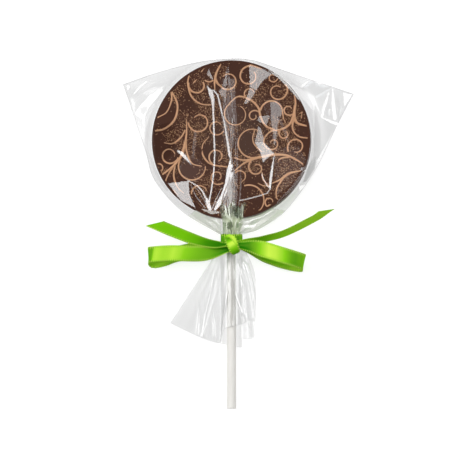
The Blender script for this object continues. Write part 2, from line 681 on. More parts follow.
# %% [markdown]
# ## Paper stick
#
# A lollipop stick is paper rolled tightly into a rod, off-white and matt, with a seam that winds
# very slowly round it and a crushed, slightly hollow end. A cylinder with a bump map would do from
# afar. The CAD rod is right in size but has few sides, so a finer rod takes its place, with the
# seam and the end's coil cut as real relief.

# %% Paper material
PAPER_DARK, PAPER_LIGHT = (0.80, 0.775, 0.725), (0.90, 0.885, 0.85)


def paper_material():
    material, tree = new_material("rolled white paper")
    place = add_node(tree, "ShaderNodeTexCoord").outputs["Object"]
    along = add_node(tree, "ShaderNodeMapping", Vector=place, Scale=(1, 0.12, 1))
    fibre = add_node(tree, "ShaderNodeTexNoise", Vector=along.outputs[0], Scale=2200.0, Detail=4.0)
    colour = two_colours(tree, fibre.outputs["Fac"], PAPER_DARK, PAPER_LIGHT)
    normal = bumped(tree, fibre.outputs["Fac"], 0.25, 0.0001)
    skin = add_node(tree, "ShaderNodeBsdfPrincipled", Base_Color=colour, Roughness=0.62, Normal=normal)
    show(tree, skin.outputs[0])
    return material


# %% Paper stick
STICK_SIDES = 96
SEAM_PITCH = 46
SEAM_DEPTH = 0.035
FOOT_ROUNDING = 0.2
COILS = 12  # paper layers that show in the end face


def make_stick(material):
    foot, head = stick_low.y / MM, stick_high.y / MM
    start = [foot, foot + 0.05, foot + FOOT_ROUNDING]
    y = np.concatenate([start, np.linspace(foot + 0.6, head - 0.2, 170), [head]])
    radius = STICK_RADIUS - np.interp(y, [foot, foot + FOOT_ROUNDING], [FOOT_ROUNDING, 0])
    around = np.linspace(0, 2 * math.pi, STICK_SIDES, endpoint=False)
    seam = (around[None, :] / (2 * math.pi) - (y[:, None] / SEAM_PITCH)) % 1
    groove = SEAM_DEPTH * np.exp(-(((seam - 0.5) / 0.012) ** 2))
    reach = radius[:, None] - groove
    level = np.broadcast_to(y[:, None], reach.shape)
    rings = np.stack([reach * np.cos(around), level, AXIS_Z + reach * np.sin(around)], 2)
    coils = []
    for k in range(COILS):  # layers that stand in and out by turns, with a dimple in the middle
        r = (STICK_RADIUS - FOOT_ROUNDING) * (1 - (k + 1) / (COILS + 1))
        depth = 0.05 * (k % 2) + 0.18 * smoothstep(1 - r / STICK_RADIUS, 0.6, 1.0)
        level = np.full(STICK_SIDES, foot + depth)
        coils.append(np.stack([r * np.cos(around), level, AXIS_Z + r * np.sin(around)], 1))
    rings = np.concatenate([np.array(coils)[::-1], rings])
    count = len(rings)
    index = np.arange(count * STICK_SIDES).reshape(count, STICK_SIDES)
    after = np.roll(index, -1, axis=1)
    wall = np.stack([index[:-1], index[1:], after[1:], after[:-1]], axis=2).reshape(-1, 4)
    points = np.concatenate([rings.reshape(-1, 3), [[0, foot + 0.25, AXIS_Z], [0, head, AXIS_Z]]])
    near = [(count * STICK_SIDES, a, b) for a, b in zip(index[0], after[0])]
    far = [(count * STICK_SIDES + 1, b, a) for a, b in zip(index[-1], after[-1])]
    add_piece("paper_stick", points, [*wall.tolist(), *near, *far], material, ["stick"])


make_stick(paper_material())

# %% [markdown]
# ## Clear film
#
# The bag is thin polypropylene film, clear and stiff. It holds straight, sharp creases with flat
# facets between them, and a facet flashes white where it tilts towards a lamp. A glass shader
# would bend the light as a solid block does, so the finish is built up instead: a see-through
# sheet with a trace of white haze, and over it a mirror that strengthens edge-on. Marks on the
# mesh's points refine it: how far a facet tilts, and how much it shines, dims or looks milky.

# %% Film material
FILM_ROUGHNESS = 0.25
SLANT_SHADE = 0.18  # steep film is looked through at a slant, so it dims more


def film_material(name, head_on, haze, tint=(0.99, 0.99, 0.99), milk=(0.80, 0.81, 0.77), deep=(0, 0, 0)):
    """Film whose see-through part goes from its tint to a deep colour where it is shaded."""
    material, tree = new_material(name)
    mirror, steepness = edge_on_factor(tree, head_on, 1.0)
    dim = worked_out(tree, "MULTIPLY_ADD", steepness, SLANT_SHADE, read_mark(tree, "shade"))
    clear = add_node(tree, "ShaderNodeBsdfTransparent", Color=two_colours(tree, dim, tint, deep))
    cloudy = add_node(tree, "ShaderNodeBsdfDiffuse", Color=(*milk, 1))
    whole = worked_out(tree, "ADD", read_mark(tree, "milk"), haze)
    body = add_node(tree, "ShaderNodeMixShader", Fac=whole, i1=clear.outputs[0], i2=cloudy.outputs[0])
    skin = tree.nodes.new("ShaderNodeNewGeometry").outputs["Normal"]
    facing = add_node(tree, "ShaderNodeVectorMath", i0=skin, i1=read_mark(tree, "tilt", "Vector"))
    shine = add_node(tree, "ShaderNodeBsdfGlossy", Color=(1, 1, 1, 1), Roughness=FILM_ROUGHNESS)
    tree.links.new(facing.outputs[0], shine.inputs["Normal"])
    shine.distribution = "BECKMANN"
    total = worked_out(tree, "ADD", mirror, read_mark(tree, "shine"))
    film = add_node(tree, "ShaderNodeMixShader", Fac=total, i1=body.outputs[0], i2=shine.outputs[0])
    show(tree, film.outputs[0])
    return material


one_layer_film = film_material("clear film over the disc", 0.08, 0.004, milk=(0.70, 0.72, 0.61))
thin_shell_film = film_material("clear film of the skirt", 0.045, 0.02)

# %% [markdown]
# ## Facets and creases
#
# On the real bag a facet is a flat patch that mirrors one lamp, and a crease is a narrow line that
# does. Simulated cloth makes soft folds, and true slopes would lift the film far off the chocolate.
# So each facet is an outline and each crease a line with a width, placed on the sheet by eye. The
# mesh rises only a little there, and the marks tilt the mirror towards the lamp.

# %% Marks of facets and creases
# For each lamp, the compass angle that a facet faces to mirror it, in degrees, and its slope.
MIRRORING = {"left": (188, 0.29), "right": (-3, 0.40), "sky": (0, 0)}
RELIEF = 0.25  # how far the sheet rises in the middle of a patch, in mm
EDGE_BLUR = 0.3  # how soft a patch's edge is, in mm
FAR = 1e3


def outline_depth(x, y, outline):
    """How deep inside an outline (x, y) each point lies; outside it is negative."""
    corners = np.asarray(outline, float)
    nearest, inside = np.full(x.shape, FAR), np.zeros(x.shape, bool)
    for a, b in zip(corners, np.roll(corners, -1, axis=0)):
        along = b - a
        t = np.clip(((x - a[0]) * along[0] + (y - a[1]) * along[1]) / (along @ along), 0, 1)
        nearest = np.minimum(nearest, np.hypot(x - a[0] - t * along[0], y - a[1] - t * along[1]))
        if a[1] != b[1]:
            crossing = a[0] + (y - a[1]) * along[0] / along[1]
            inside ^= ((a[1] > y) != (b[1] > y)) & (x < crossing)
    return np.where(inside, nearest, -nearest)


def line_depth(x, y, stations):
    """The same for a line of stations (x, y, width)."""
    stations = np.asarray(stations, float)
    depth = np.full(x.shape, -FAR)
    for a, b in zip(stations, stations[1:]):
        along = (b - a)[:2]
        t = np.clip(((x - a[0]) * along[0] + (y - a[1]) * along[1]) / (along @ along), 0, 1)
        aside = np.hypot(x - a[0] - t * along[0], y - a[1] - t * along[1])
        depth = np.maximum(depth, (a[2] + (b[2] - a[2]) * t) / 2 - aside)
    return depth


def film_marks(x, y, patches, shade=0.0, milk=0.0):
    """Everything the patches and creases say about each point of a sheet of film, on top of the
    shade and milk that the whole sheet has. The later ones lie over the earlier ones."""
    zero = np.zeros(x.shape)
    marks = dict.fromkeys(("lean_x", "lean_y", "held", "shine", "relief"), zero)
    marks.update(shade=zero + shade, milk=zero + milk)
    for lamp, own_shine, own_shade, own_milk, shape in patches:
        depth = line_depth(x, y, shape) if len(shape[0]) == 3 else outline_depth(x, y, shape)
        inside = np.clip(0.5 + depth / EDGE_BLUR, 0, 1)
        said = {"shade": own_shade, "milk": own_milk}
        if lamp:
            facing, slope = math.radians(MIRRORING[lamp][0]), MIRRORING[lamp][1]
            said.update(lean_x=slope * math.cos(facing), lean_y=slope * math.sin(facing))
            said.update(held=1, shine=own_shine)
        for key, value in said.items():
            marks[key] = marks[key] + inside * (value - marks[key])
        marks["relief"] = np.maximum(marks["relief"], RELIEF * np.clip(depth, 0, 1))
    return marks


def mark_film(piece, *sheets):
    """Stores each sheet's marks on the piece's points, given as (first point, marks)."""
    total = len(piece.data.vertices)
    normals = np.empty(total * 3, np.float32)
    piece.data.vertex_normals.foreach_get("vector", normals)
    normals = normals.reshape(-1, 3)
    tilt, levels = np.zeros((total, 3)), {key: np.zeros(total) for key in ("shine", "shade", "milk")}
    for first, marks in sheets:
        lean_x, lean_y = marks["lean_x"].ravel(), marks["lean_y"].ravel()
        lean = np.stack([lean_x, lean_y, np.ones(len(lean_x))], axis=1)
        own = slice(first, first + len(lean))
        lean = lean / np.linalg.norm(lean, axis=1, keepdims=True)
        tilt[own] = marks["held"].reshape(-1, 1) * (lean - normals[own])
        for key, level in levels.items():
            level[own] = marks[key].ravel()
    mark = piece.data.attributes.new("tilt", "FLOAT_VECTOR", "POINT")
    mark.data.foreach_set("vector", tilt.ravel())
    for key, level in levels.items():
        piece.data.attributes.new(key, "FLOAT", "POINT").data.foreach_set("value", level)


# %% Facets over the face
# A patch is (lamp, extra shine, shade, milk, outline), in mm. No lamp leaves the sheet as it lies.
FACE_PATCHES = [
    # taut film that dims the chocolate at the left, and faintly hazy areas on both sides
    ("sky", -0.04, 0.15, 0, [
        (-34.6, 6.0), (-27.0, 8.0), (-24.0, 2.0), (-26.0, -6.0), (-29.0, -9.0), (-33.6, -9.0),
    ]),
    ("left", -0.072, 0, 0, [
        (-19.6, -6.0), (-13.6, -9.5), (-11.5, -13.0), (-13.5, -18.0), (-18.5, -19.0),
        (-23.0, -14.0),
    ]),
    ("right", -0.07, 0, 0, [
        (14.2, 14.5), (17.2, 8.0), (18.2, -3.2), (19.8, -3.2), (21.6, 6.0), (24.0, 12.0),
        (21.0, 17.5), (16.5, 17.8),
    ]),
    ("right", -0.067, 0, 0, [
        (17.0, -4.5), (29.5, -3.5), (33.0, -9.5), (27.5, -19.5), (20.5, -25.0), (19.6, -14.0),
    ]),
    ("left", -0.045, 0, 0, [
        (-3.6, 27.0), (1.8, 27.0), (2.8, 8.0), (1.2, -4.0), (-1.2, -4.0), (-2.8, 8.0),
    ]),
    ("left", -0.01, 0, 0.06, [
        (-0.6, -13.0), (1.8, -13.0), (2.8, -20.0), (2.6, -31.0), (-3.4, -31.0), (-2.0, -22.0),
    ]),
    # the large bright patch at the top right, and its tail
    ("right", 0.04, 0, 0, [
        (8.2, 32.9), (8.3, 26.4), (8.4, 23.0), (11.4, 21.4), (13.5, 24.7), (15.6, 26.7),
        (16.0, 26.9), (18.2, 28.7), (14.4, 31.2), (12.2, 31.8),
    ]),
    ("right", 0.02, 0, 0, [
        (5.8, 16.0), (6.7, 15.2), (9.0, 17.4), (11.2, 21.2), (8.3, 22.8), (7.1, 18.7),
    ]),
    # pale darts under the top
    ("left", 0.02, 0, 0, [(-9.7, 31.7), (-10.6, 29.0), (-8.4, 26.8), (-7.6, 26.6)]),
    ("right", 0.0, 0, 0, [(-1.3, 33.0), (-3.8, 23.6), (-1.5, 23.1)]),
    ("right", 0.0, 0, 0, [(-5.6, 21.3), (-2.0, 15.6), (-1.5, 22.9), (-3.6, 23.3)]),
    # the tall grey strip on the right, and the small patch beside its top
    ("right", -0.005, 0, 0, [
        (17.5, 16.0), (18.0, 7.3), (18.8, 3.5), (19.3, -3.0), (19.7, -3.0), (20.2, 0.3),
        (20.9, 6.5), (22.9, 11.7), (22.0, 14.9), (20.1, 16.5),
    ]),
    ("right", 0.01, 0, 0, [(11.6, 8.0), (16.0, 5.7), (17.4, 10.3), (12.6, 10.2)]),
    # the bright kinked patch right of the middle
    ("left", 0.02, 0, 0, [
        (12.1, 5.5), (11.9, 3.0), (10.6, -1.2), (14.7, -1.4), (14.7, 0.3), (13.6, 4.0), (12.9, 5.4),
    ]),
    ("left", 0.09, 0, 0, [
        (10.6, -1.4), (13.3, -6.4), (14.4, -10.7), (16.0, -8.8), (19.5, -6.6), (14.7, -1.4),
    ]),
    # the pale patch at the lower left
    ("left", 0.097, 0, 0, [
        (-27.9, -19.3), (-26.1, -21.5), (-23.4, -25.3), (-22.0, -26.9), (-15.4, -30.4),
        (-18.2, -24.3), (-18.6, -18.3), (-22.6, -18.7),
    ]),
    # the white gusset that leans down to the gather
    ("left", 0.2, 0, 0, [
        (-0.2, -5.5), (-0.3, -8.6), (-1.84, -14.5), (-2.46, -19.3), (-4.05, -24.0), (-6.26, -28.1),
        (-7.6, -31.6), (-6.5, -31.6), (-3.56, -28.1), (-1.97, -24.0), (0.37, -19.3), (1.47, -14.5),
        (0.9, -10.7),
    ]),
    # the streak at the left, the tuft at the foot of the left fold, the glint on the right rim
    ("left", 0.17, 0, 0, [
        (-24.4, -4.4), (-22.6, -6.4), (-17.3, -11.2), (-19.6, -7.4), (-21.4, -5.2),
    ]),
    ("left", 0.2, 0, 0, [
        (-11.0, -25.4), (-11.3, -28.2), (-9.4, -32.0), (-8.2, -31.0), (-9.0, -28.6), (-10.0, -26.4),
    ]),
    ("left", 0.12, 0, 0, [(30.6, -13.2), (31.4, -15.4), (33.4, -14.6), (32.8, -12.6)]),
]

# %% Creases over the face
# A crease is the same as a patch, with a line of stations (x, y, width) in place of the outline.
FACE_CREASES = [
    # the long left fold, from the small triangle under the top to the gather
    ("left", 0.15, 0, 0, [
        (-10.4, 23.9, 0.3), (-8.8, 21.0, 2.2), (-7.9, 17.6, 1.6), (-7.8, 14.6, 0.9),
        (-7.4, 4.1, 0.8), (-7.0, -6.6, 0.75), (-7.4, -13.6, 0.75), (-8.0, -19.3, 0.7),
        (-8.8, -24.0, 0.7), (-9.6, -28.2, 0.9),
    ]),
    # the fold beside it, which widens into the gusset
    ("left", 0.16, 0, 0, [
        (-7.6, 22.0, 0.5), (-5.6, 19.4, 0.75), (-2.6, 6.4, 0.7), (-1.2, -2.5, 1.0),
        (-0.3, -7.6, 1.2),
    ]),
    ("right", 0.06, 0, 0, [
        (1.5, -13.0, 0.5), (1.2, -19.3, 0.7), (-0.2, -23.0, 0.7), (-1.2, -27.2, 0.8),
        (-1.5, -31.3, 0.8),
    ]),
    # the straight folds down the middle
    ("right", 0.04, 0, 0, [(-0.6, 24.0, 0.5), (1.2, 12.4, 1.0), (0.1, -2.8, 0.6)]),
    ("right", -0.02, 0, 0, [(-2.0, 15.6, 0.4), (-1.0, 8.0, 0.5), (0.2, 2.0, 0.4)]),
    ("right", -0.04, 0, 0, [
        (2.8, 6.0, 0.4), (3.0, -3.0, 0.5), (2.8, -14.0, 0.8), (2.6, -24.0, 0.9), (2.0, -31.0, 0.9),
    ]),
    ("left", -0.04, 0, 0, [
        (4.4, -12.0, 0.4), (4.6, -20.0, 0.6), (4.0, -27.0, 0.7), (3.4, -32.0, 0.7),
    ]),
    # the bundle of fine grey folds that meets the gusset's top
    ("right", 0.0, 0, 0, [
        (-4.7, 21.9, 0.4), (-1.6, 13.9, 0.5), (-0.2, 5.9, 0.5), (0.2, -2.9, 0.6), (0.6, -10.9, 0.5),
    ]),
    ("left", 0.0, 0, 0, [
        (-1.1, 32.5, 0.4), (-0.7, 26.3, 0.5), (0.5, 17.4, 0.6), (1.4, 8.6, 0.7), (0.5, -2.1, 0.5),
    ]),
    ("right", -0.02, 0, 0, [
        (1.1, 8.6, 0.4), (2.4, -0.3, 0.5), (2.0, -9.1, 0.5), (0.6, -14.5, 0.4),
    ]),
    ("left", -0.02, 0, 0, [(-3.4, 19.0, 0.4), (-2.4, 8.0, 0.5), (-0.9, 0.0, 0.5)]),
    ("left", -0.05, 0, 0, [(-3.6, 12.0, 0.3), (-3.2, 4.0, 0.4), (-2.0, -4.0, 0.4)]),
    ("left", -0.02, 0, 0, [(-17.9, -19.8, 0.3), (-15.3, -25.1, 0.5), (-11.3, -30.4, 0.6)]),
    ("left", -0.02, 0, 0, [(-16.5, -19.5, 0.3), (-13.4, -24.0, 0.5), (-10.6, -29.0, 0.4)]),
    ("left", 0.05, 0, 0, [(-4.0, -21.5, 0.3), (-6.4, -26.5, 0.5), (-8.6, -31.8, 0.5)]),
    ("left", 0.0, 0, 0, [(-0.6, -18.0, 0.3), (-3.0, -24.5, 0.5), (-4.4, -30.4, 0.5)]),
    ("left", 0.03, 0, 0, [
        (0.6, -17.0, 0.3), (-0.4, -22.0, 0.5), (-2.9, -28.0, 0.6), (-3.6, -31.4, 0.5),
    ]),
    # the bright line that falls from the kinked patch, its companion, and the line to the gather
    ("left", 0.18, 0, 0, [
        (19.4, -7.4, 0.5), (18.7, -11.1, 0.8), (18.2, -14.5, 1.2), (17.7, -18.0, 1.2),
        (17.4, -21.8, 1.0),
    ]),
    ("left", 0.14, 0, 0, [
        (13.8, -15.2, 0.4), (14.6, -18.0, 0.6), (16.0, -20.5, 0.6), (17.6, -22.0, 0.7),
    ]),
    ("left", 0.08, 0, 0, [
        (17.6, -22.1, 0.5), (16.3, -24.0, 0.6), (14.1, -24.8, 0.6), (10.3, -25.9, 0.7),
        (4.3, -27.2, 0.6),
    ]),
    # the arc that closes the lower left patch
    ("left", 0.12, 0, 0, [
        (-18.8, -18.2, 0.5), (-14.6, -20.6, 0.6), (-12.4, -23.0, 0.8), (-11.1, -25.8, 1.0),
    ]),
    # bright film over the rim, at the upper right and the lower right
    ("right", 0.07, 0, 0.1, [
        (16.6, 30.5, 0.4), (21.9, 26.9, 1.3), (27.0, 21.7, 1.5), (30.6, 16.6, 0.4),
    ]),
    ("right", -0.045, 0, 0, [
        (32.6, -12.6, 0.6), (30.3, -17.2, 1.1), (26.6, -22.4, 1.1), (20.5, -28.0, 0.5),
    ]),
    # crumples by the gather
    ("left", 0.05, 0, 0.1, [(-0.5, -17.0, 0.6), (-0.4, -22.5, 2.4), (-0.2, -28.8, 1.0)]),
    ("left", 0.02, 0, 0.2, [(-12.4, -31.0, 0.5), (-8.6, -32.4, 1.5), (-5.4, -32.4, 0.9)]),
    # faint grey smudges
    ("left", -0.055, 0, 0, [(-15.5, 3.7, 0.8), (-16.0, -2.0, 1.4), (-16.6, -8.0, 0.8)]),
    ("right", -0.055, 0, 0, [(21.5, 9.5, 0.8), (24.0, 3.0, 1.4), (25.8, -3.1, 0.8)]),
]

# %% Facets and creases round the disc
OUTER_PATCHES = [
    # the left corner
    (None, 0, 0.09, 0, [
        (-45.3, 19.7), (-43.9, 12.7), (-42.1, 14.9), (-38.1, 19.3), (-30.8, 23.3), (-27.6, 25.7),
        (-34.1, 25.7), (-40.1, 22.9),
    ]),
    ("left", 0.0, 0, 0, [(-47.1, 25.5), (-46.7, 22.9), (-45.7, 24.9)]),
    ("left", 0.0, 0, 0, [
        (-44.4, 21.2), (-43.4, 21.6), (-40.5, 24.7), (-37.3, 27.1), (-38.7, 26.8), (-41.5, 24.6),
    ]),
    ("left", 0.0, 0, 0, [
        (-43.5, 12.6), (-42.5, 11.6), (-40.1, 10.0), (-39.5, 6.8), (-38.5, 12.0), (-36.9, 15.3),
        (-32.5, 20.1), (-30.4, 22.7), (-30.8, 23.3), (-36.9, 20.5), (-41.3, 15.7),
    ]),
    ("left", -0.08, 0.06, 0, [
        (-40.9, 14.9), (-40.7, 13.1), (-39.5, 11.6), (-37.7, 14.1), (-38.1, 15.9),
    ]),
    (None, 0, 0.15, 0, [
        (-36.9, -5.5), (-35.6, -10.5), (-34.2, -14.8), (-31.8, -18.8), (-28.6, -22.9),
        (-27.6, -22.3), (-31.0, -17.6), (-33.2, -13.2), (-34.9, -8.5),
    ]),
    # the right corner
    (None, 0, 0.05, 0, [(21.5, 30.6), (35.7, 26.3), (31.3, 22.6), (22.9, 27.0)]),
    (None, 0, 0.18, 0, [(35.7, 26.3), (44.5, 23.1), (37.2, 18.9), (31.3, 22.6)]),
    ("right", 0.0, 0, 0, [(36.7, 26.0), (41.1, 24.6), (38.7, 24.1)]),
    ("right", -0.05, 0.06, 0, [
        (24.4, 25.6), (36.7, 18.7), (40.1, 9.3), (33.3, 15.7), (27.9, 21.1),
    ]),
    (None, 0, 0.12, 0, [(36.9, 18.7), (44.3, 22.8), (39.9, 9.3)]),
    (None, 0, 0.16, 0, [(41.1, 14.7), (44.5, 13.8), (43.1, 9.3), (41.1, 11.3)]),
    ("right", 0.0, 0, 0, [(43.3, 20.4, 0.5), (41.4, 14.0, 0.8), (40.1, 9.6, 0.8)]),
    (None, 0, 0.2, 0, [(46.5, 19.2), (49.5, 13.3), (47.5, 7.3), (46.0, 16.2)]),
    ("right", 0.0, 0, 0, [(44.9, 22.4, 0.5), (45.2, 15.0, 1.5), (45.8, 9.0, 1.5)]),
    ("right", 0.0, 0, 0, [(49.5, 20.4), (53.4, 19.4), (50.0, 14.0)]),
    ("right", 0.0, 0, 0, [(40.1, 9.2, 0.8), (43.6, 7.6, 1.1), (47.0, 6.5, 1.0)]),
    ("sky", -0.05, 0.22, 0, [
        (37.0, 15.5), (40.1, 9.2), (46.4, 5.6), (38.0, -9.4), (36.2, -8.4), (36.8, 2.0),
    ]),
    (None, 0, 0.32, 0, [
        (37.7, -7.9), (36.9, -13.0), (33.3, -18.7), (31.8, -19.4), (33.9, -13.3), (36.2, -8.4),
    ]),
    ("right", 0.0, 0, 0, [(29.8, -20.7), (33.0, -20.2), (30.3, -23.2)]),
    # the milky film on both sides of the gather, with its folds and the gaps between them
    (None, 0, 0.12, 0.42, [
        (-15.5, -31.3), (-10.0, -34.2), (-4.5, -35.2), (-3.8, -42.4), (-5.4, -42.4), (-19.5, -33.6),
    ]),
    (None, 0, 0.12, 0.45, [
        (18.0, -30.6), (12.0, -34.0), (4.5, -35.2), (3.8, -42.4), (5.4, -42.4), (13.4, -39.4),
        (24.0, -31.6),
    ]),
    ("right", 0.1, 0, 0.5, [
        (5.2, -38.3), (9.8, -37.6), (11.8, -36.6), (10.4, -38.9), (6.4, -39.4),
    ]),
    ("left", 0.1, 0, 0.4, [
        (3.2, -36.9, 0.4), (8.0, -36.3, 0.6), (14.0, -34.2, 0.6), (18.5, -31.6, 0.5),
    ]),
    (None, 0, 0.3, 0.3, [(4.4, -38.0, 0.4), (8.2, -37.3, 0.5), (11.4, -36.6, 0.3)]),
    (None, 0, 0.2, 0.4, [(9.8, -39.2, 0.4), (11.2, -37.6, 0.5), (13.8, -36.2, 0.4)]),
    (None, 0, 0.2, 0.45, [(-9.4, -35.6, 0.3), (-7.4, -36.8, 0.5), (-5.2, -38.6, 0.4)]),
    (None, 0, 0.14, 0.45, [(-12.4, -37.2, 0.3), (-8.0, -37.8, 0.7), (-5.0, -40.0, 0.4)]),
    ("left", 0.05, 0, 0.45, [(-9.6, -34.9, 0.4), (-6.6, -36.2, 0.6), (-4.6, -37.6, 0.4)]),
]
print(len(FACE_PATCHES), "patches and", len(FACE_CREASES), "creases over the face")
print(len(OUTER_PATCHES), "patches and creases round the disc")

# %% [markdown]
# ## The bag's outline
#
# The flat bag is a rectangle. Drawn together at the neck it lies as a fan, with a straight seam at
# the top, two sides that bend in below the disc, and a sharp corner on each side. A simulation
# would find such an outline by itself but not this one, so three splines run through points on it.

# %% The bag's outline
SEAM = [
    (-48.6, 25.8), (-33, 30.8), (-16.2, 34.8), (0, 36.1), (9.5, 35.3), (20.6, 31.6), (36, 26.2),
    (53.9, 19.7),
]
LEFT_SIDE = [
    (-5.2, -41.8), (-21.8, -31.6), (-34, -17.7), (-38.2, -4.6), (-44.1, 12.6), (-48.6, 25.8),
]
RIGHT_SIDE = [(5.2, -41.8), (13, -39.2), (24, -31.4), (36.9, -13.8), (46.7, 6.1), (53.9, 19.7)]
WIDER = (1.006, 1.0)  # the film's corners reach 0.3 mm further out than the solid bag's
SEAM, LEFT_SIDE, RIGHT_SIDE = (np.array(line) * WIDER for line in (SEAM, LEFT_SIDE, RIGHT_SIDE))
NECK = np.array([LEFT_SIDE[0], RIGHT_SIDE[0]])
CORNER_LIFT_LEFT, CORNER_LIFT_RIGHT = -0.9, 0.7
NECK_HALF_DEPTH = 3.5
RIM_REACH = DISC_RADIUS + 0.5


def edge_by_angle():
    """Points all along the bag's edge with their angles round the disc's axis, in that order."""
    lines = [spline(line, 300) for line in (SEAM, LEFT_SIDE, RIGHT_SIDE)]
    edge = np.concatenate([*lines, spline(NECK, 40)])
    angle = np.arctan2(edge[:, 1], edge[:, 0])
    order = np.argsort(angle)
    return angle[order], edge[order]


EDGE_ANGLE, EDGE_POINTS = edge_by_angle()
print("bag", round(np.ptp(EDGE_POINTS[:, 0]), 1), "mm wide")


def film_span(x, y):
    """How far each point lies between the rim (0) and the bag's edge (1), and that edge's place."""
    angle = np.arctan2(y, x)
    edge_x = np.interp(angle, EDGE_ANGLE, EDGE_POINTS[:, 0], period=2 * math.pi)
    edge_y = np.interp(angle, EDGE_ANGLE, EDGE_POINTS[:, 1], period=2 * math.pi)
    reach = np.hypot(edge_x, edge_y)
    return np.clip((np.hypot(x, y) - RIM_REACH) / (reach - RIM_REACH), 0, 1), edge_x, edge_y


def edge_half(x, y):
    """Half the distance between the two layers along the edge: a trace, but for the neck's oval."""
    gather = smoothstep(-y, 30, 42)
    return np.maximum(0.05, gather * NECK_HALF_DEPTH * np.sqrt(np.clip(1 - (x / 9) ** 2, 0, 1)))


def edge_middle(x):
    """Height of the edge: that of the stick's axis, but for the two corners."""
    lift = np.where(x < 0, CORNER_LIFT_LEFT, CORNER_LIFT_RIGHT)
    return AXIS_Z + smoothstep(np.abs(x), 36, 52) * lift


# %% [markdown]
# ## Film over the disc
#
# The bag's two layers lie on the disc's face and back, drop steeply off its rim and meet in the
# edge all round. Two grids could be stitched in the editor, or one sheet shrunk onto the disc with
# a Shrinkwrap modifier. Here each layer's height is worked out from its distance to the rim and to
# the edge, which keeps it clear of the chocolate everywhere. The front, which carries the creases,
# is twice as fine as the back, and joining triangles close the two into one skin.

# %% Heights of the two layers
LIE = 0.16  # how far the front lies above the chocolate
BACK_LAYER_Z = 0.25
DROP = 2.2  # how far from the rim the film has dropped most of its way
# Where the pleats across the gather turn up and down, as shares of its width.
PLEATS = [0.05, 0.13, 0.2, 0.28, 0.33, 0.4, 0.46, 0.52, 0.57, 0.64, 0.7, 0.78, 0.86, 0.94]


def pleat_wave(u):
    """A zigzag across the gather, with unevenly spaced tops and bottoms."""
    turns = [0, *PLEATS, 1]
    return np.interp(u, turns, [(-1) ** k for k in range(len(turns))])


def draped(rim, edge, share, away):
    """Height of film that drops steeply off the disc's rim and then runs out almost flat."""
    fall = 1 - np.exp(-away / DROP)
    return rim + (edge - rim) * np.clip(0.82 * fall + 0.18 * share, 0, 1)


def front_height(x, y, u, relief):
    """Height of the front layer, with the creases' relief and the pleats that run to the gather."""
    share, ex, ey = film_span(x, y)
    away = np.maximum(np.hypot(x, y) - RIM_REACH, 0)
    base = draped(FACE_Z + LIE, edge_middle(ex) + edge_half(ex, ey), share, away)
    gather = smoothstep(-y, 24, 36) * (1 - smoothstep(-y, 41, 44))
    pleats = 0.55 * gather * pleat_wave(u) * smoothstep(share, 0, 0.3) + 0.15 * gather
    return base + (1 - smoothstep(share, 0.8, 1.0)) * relief + pleats


def back_height(x, y, u):
    """The same for the back layer, which is plain but for its pleats."""
    share, ex, ey = film_span(x, y)
    away = np.maximum(np.hypot(x, y) - RIM_REACH, 0)
    base = draped(BACK_LAYER_Z, edge_middle(ex) - edge_half(ex, ey), share, away)
    gather = smoothstep(-y, 26, 38) * (1 - smoothstep(-y, 41, 44))
    return base - 0.35 * gather * pleat_wave(u + 0.04) * smoothstep(share, 0, 0.3)


# %% Film over the disc
NECK_ROWS = (-44.4, -43.6, -42.8, -42.2)  # places (y) of the rows that run down through the band
NECK_SQUEEZE = 4.1 / 5.2
NECK_HALF_WIDTH, NECK_HALF_HEIGHT = 4.12, 3.3


def bag_grid(rows, columns):
    """Points over the bag's outline, from the neck (row 0) to the seam, and their place across."""
    u = np.linspace(0, 1, columns)[None, :, None]
    v = np.linspace(0, 1, rows)[:, None, None]
    low, high = spline(NECK, columns)[None], spline(SEAM, columns)[None]
    left, right = spline(LEFT_SIDE, rows)[:, None], spline(RIGHT_SIDE, rows)[:, None]
    corners = (1 - u) * (1 - v) * low[:, :1] + u * (1 - v) * low[:, -1:]
    corners = corners + (1 - u) * v * high[:, :1] + u * v * high[:, -1:]
    place = (1 - v) * low + v * high + (1 - u) * left + u * right - corners
    return place, np.broadcast_to(u[..., 0], (rows, columns))


def with_neck(grid, side, fine=False):
    """Adds the rows that run down through the band, where the film is bunched to an oval."""
    x = grid[0, :, 0] * NECK_SQUEEZE
    z = AXIS_Z + side * NECK_HALF_HEIGHT * np.sqrt(np.clip(1 - (x / NECK_HALF_WIDTH) ** 2, 0, 1))
    rows = [np.stack([x, np.full_like(x, y), z], axis=1) for y in NECK_ROWS]
    if fine:
        between = [(a + b) / 2 for a, b in zip(rows, [*rows[1:], grid[0]])]
        rows = [row for pair in zip(rows, between) for row in pair]
    return np.concatenate([np.array(rows), grid])


def front_ground(x, y):
    """Shade and milk of the whole front: greyer off the disc, in the corners and along the edge,
    and a faint bloom over the face."""
    share = film_span(x, y)[0]
    shade = (0.05 + 0.035 * smoothstep(y, -5, 12)) * smoothstep(share, 0, 0.12)
    shade = shade + 0.09 * smoothstep(share, 0.95, 0.985)
    shade = shade + 0.05 * smoothstep(np.abs(x), 35, 40) * smoothstep(y, -2, 8)
    shade = shade * (1 - 0.8 * np.exp(-((x / 14) ** 2)) * (y > 0))
    return shade, 0.024 * np.exp(-((x - 4) ** 2 + y**2) / 20**2)


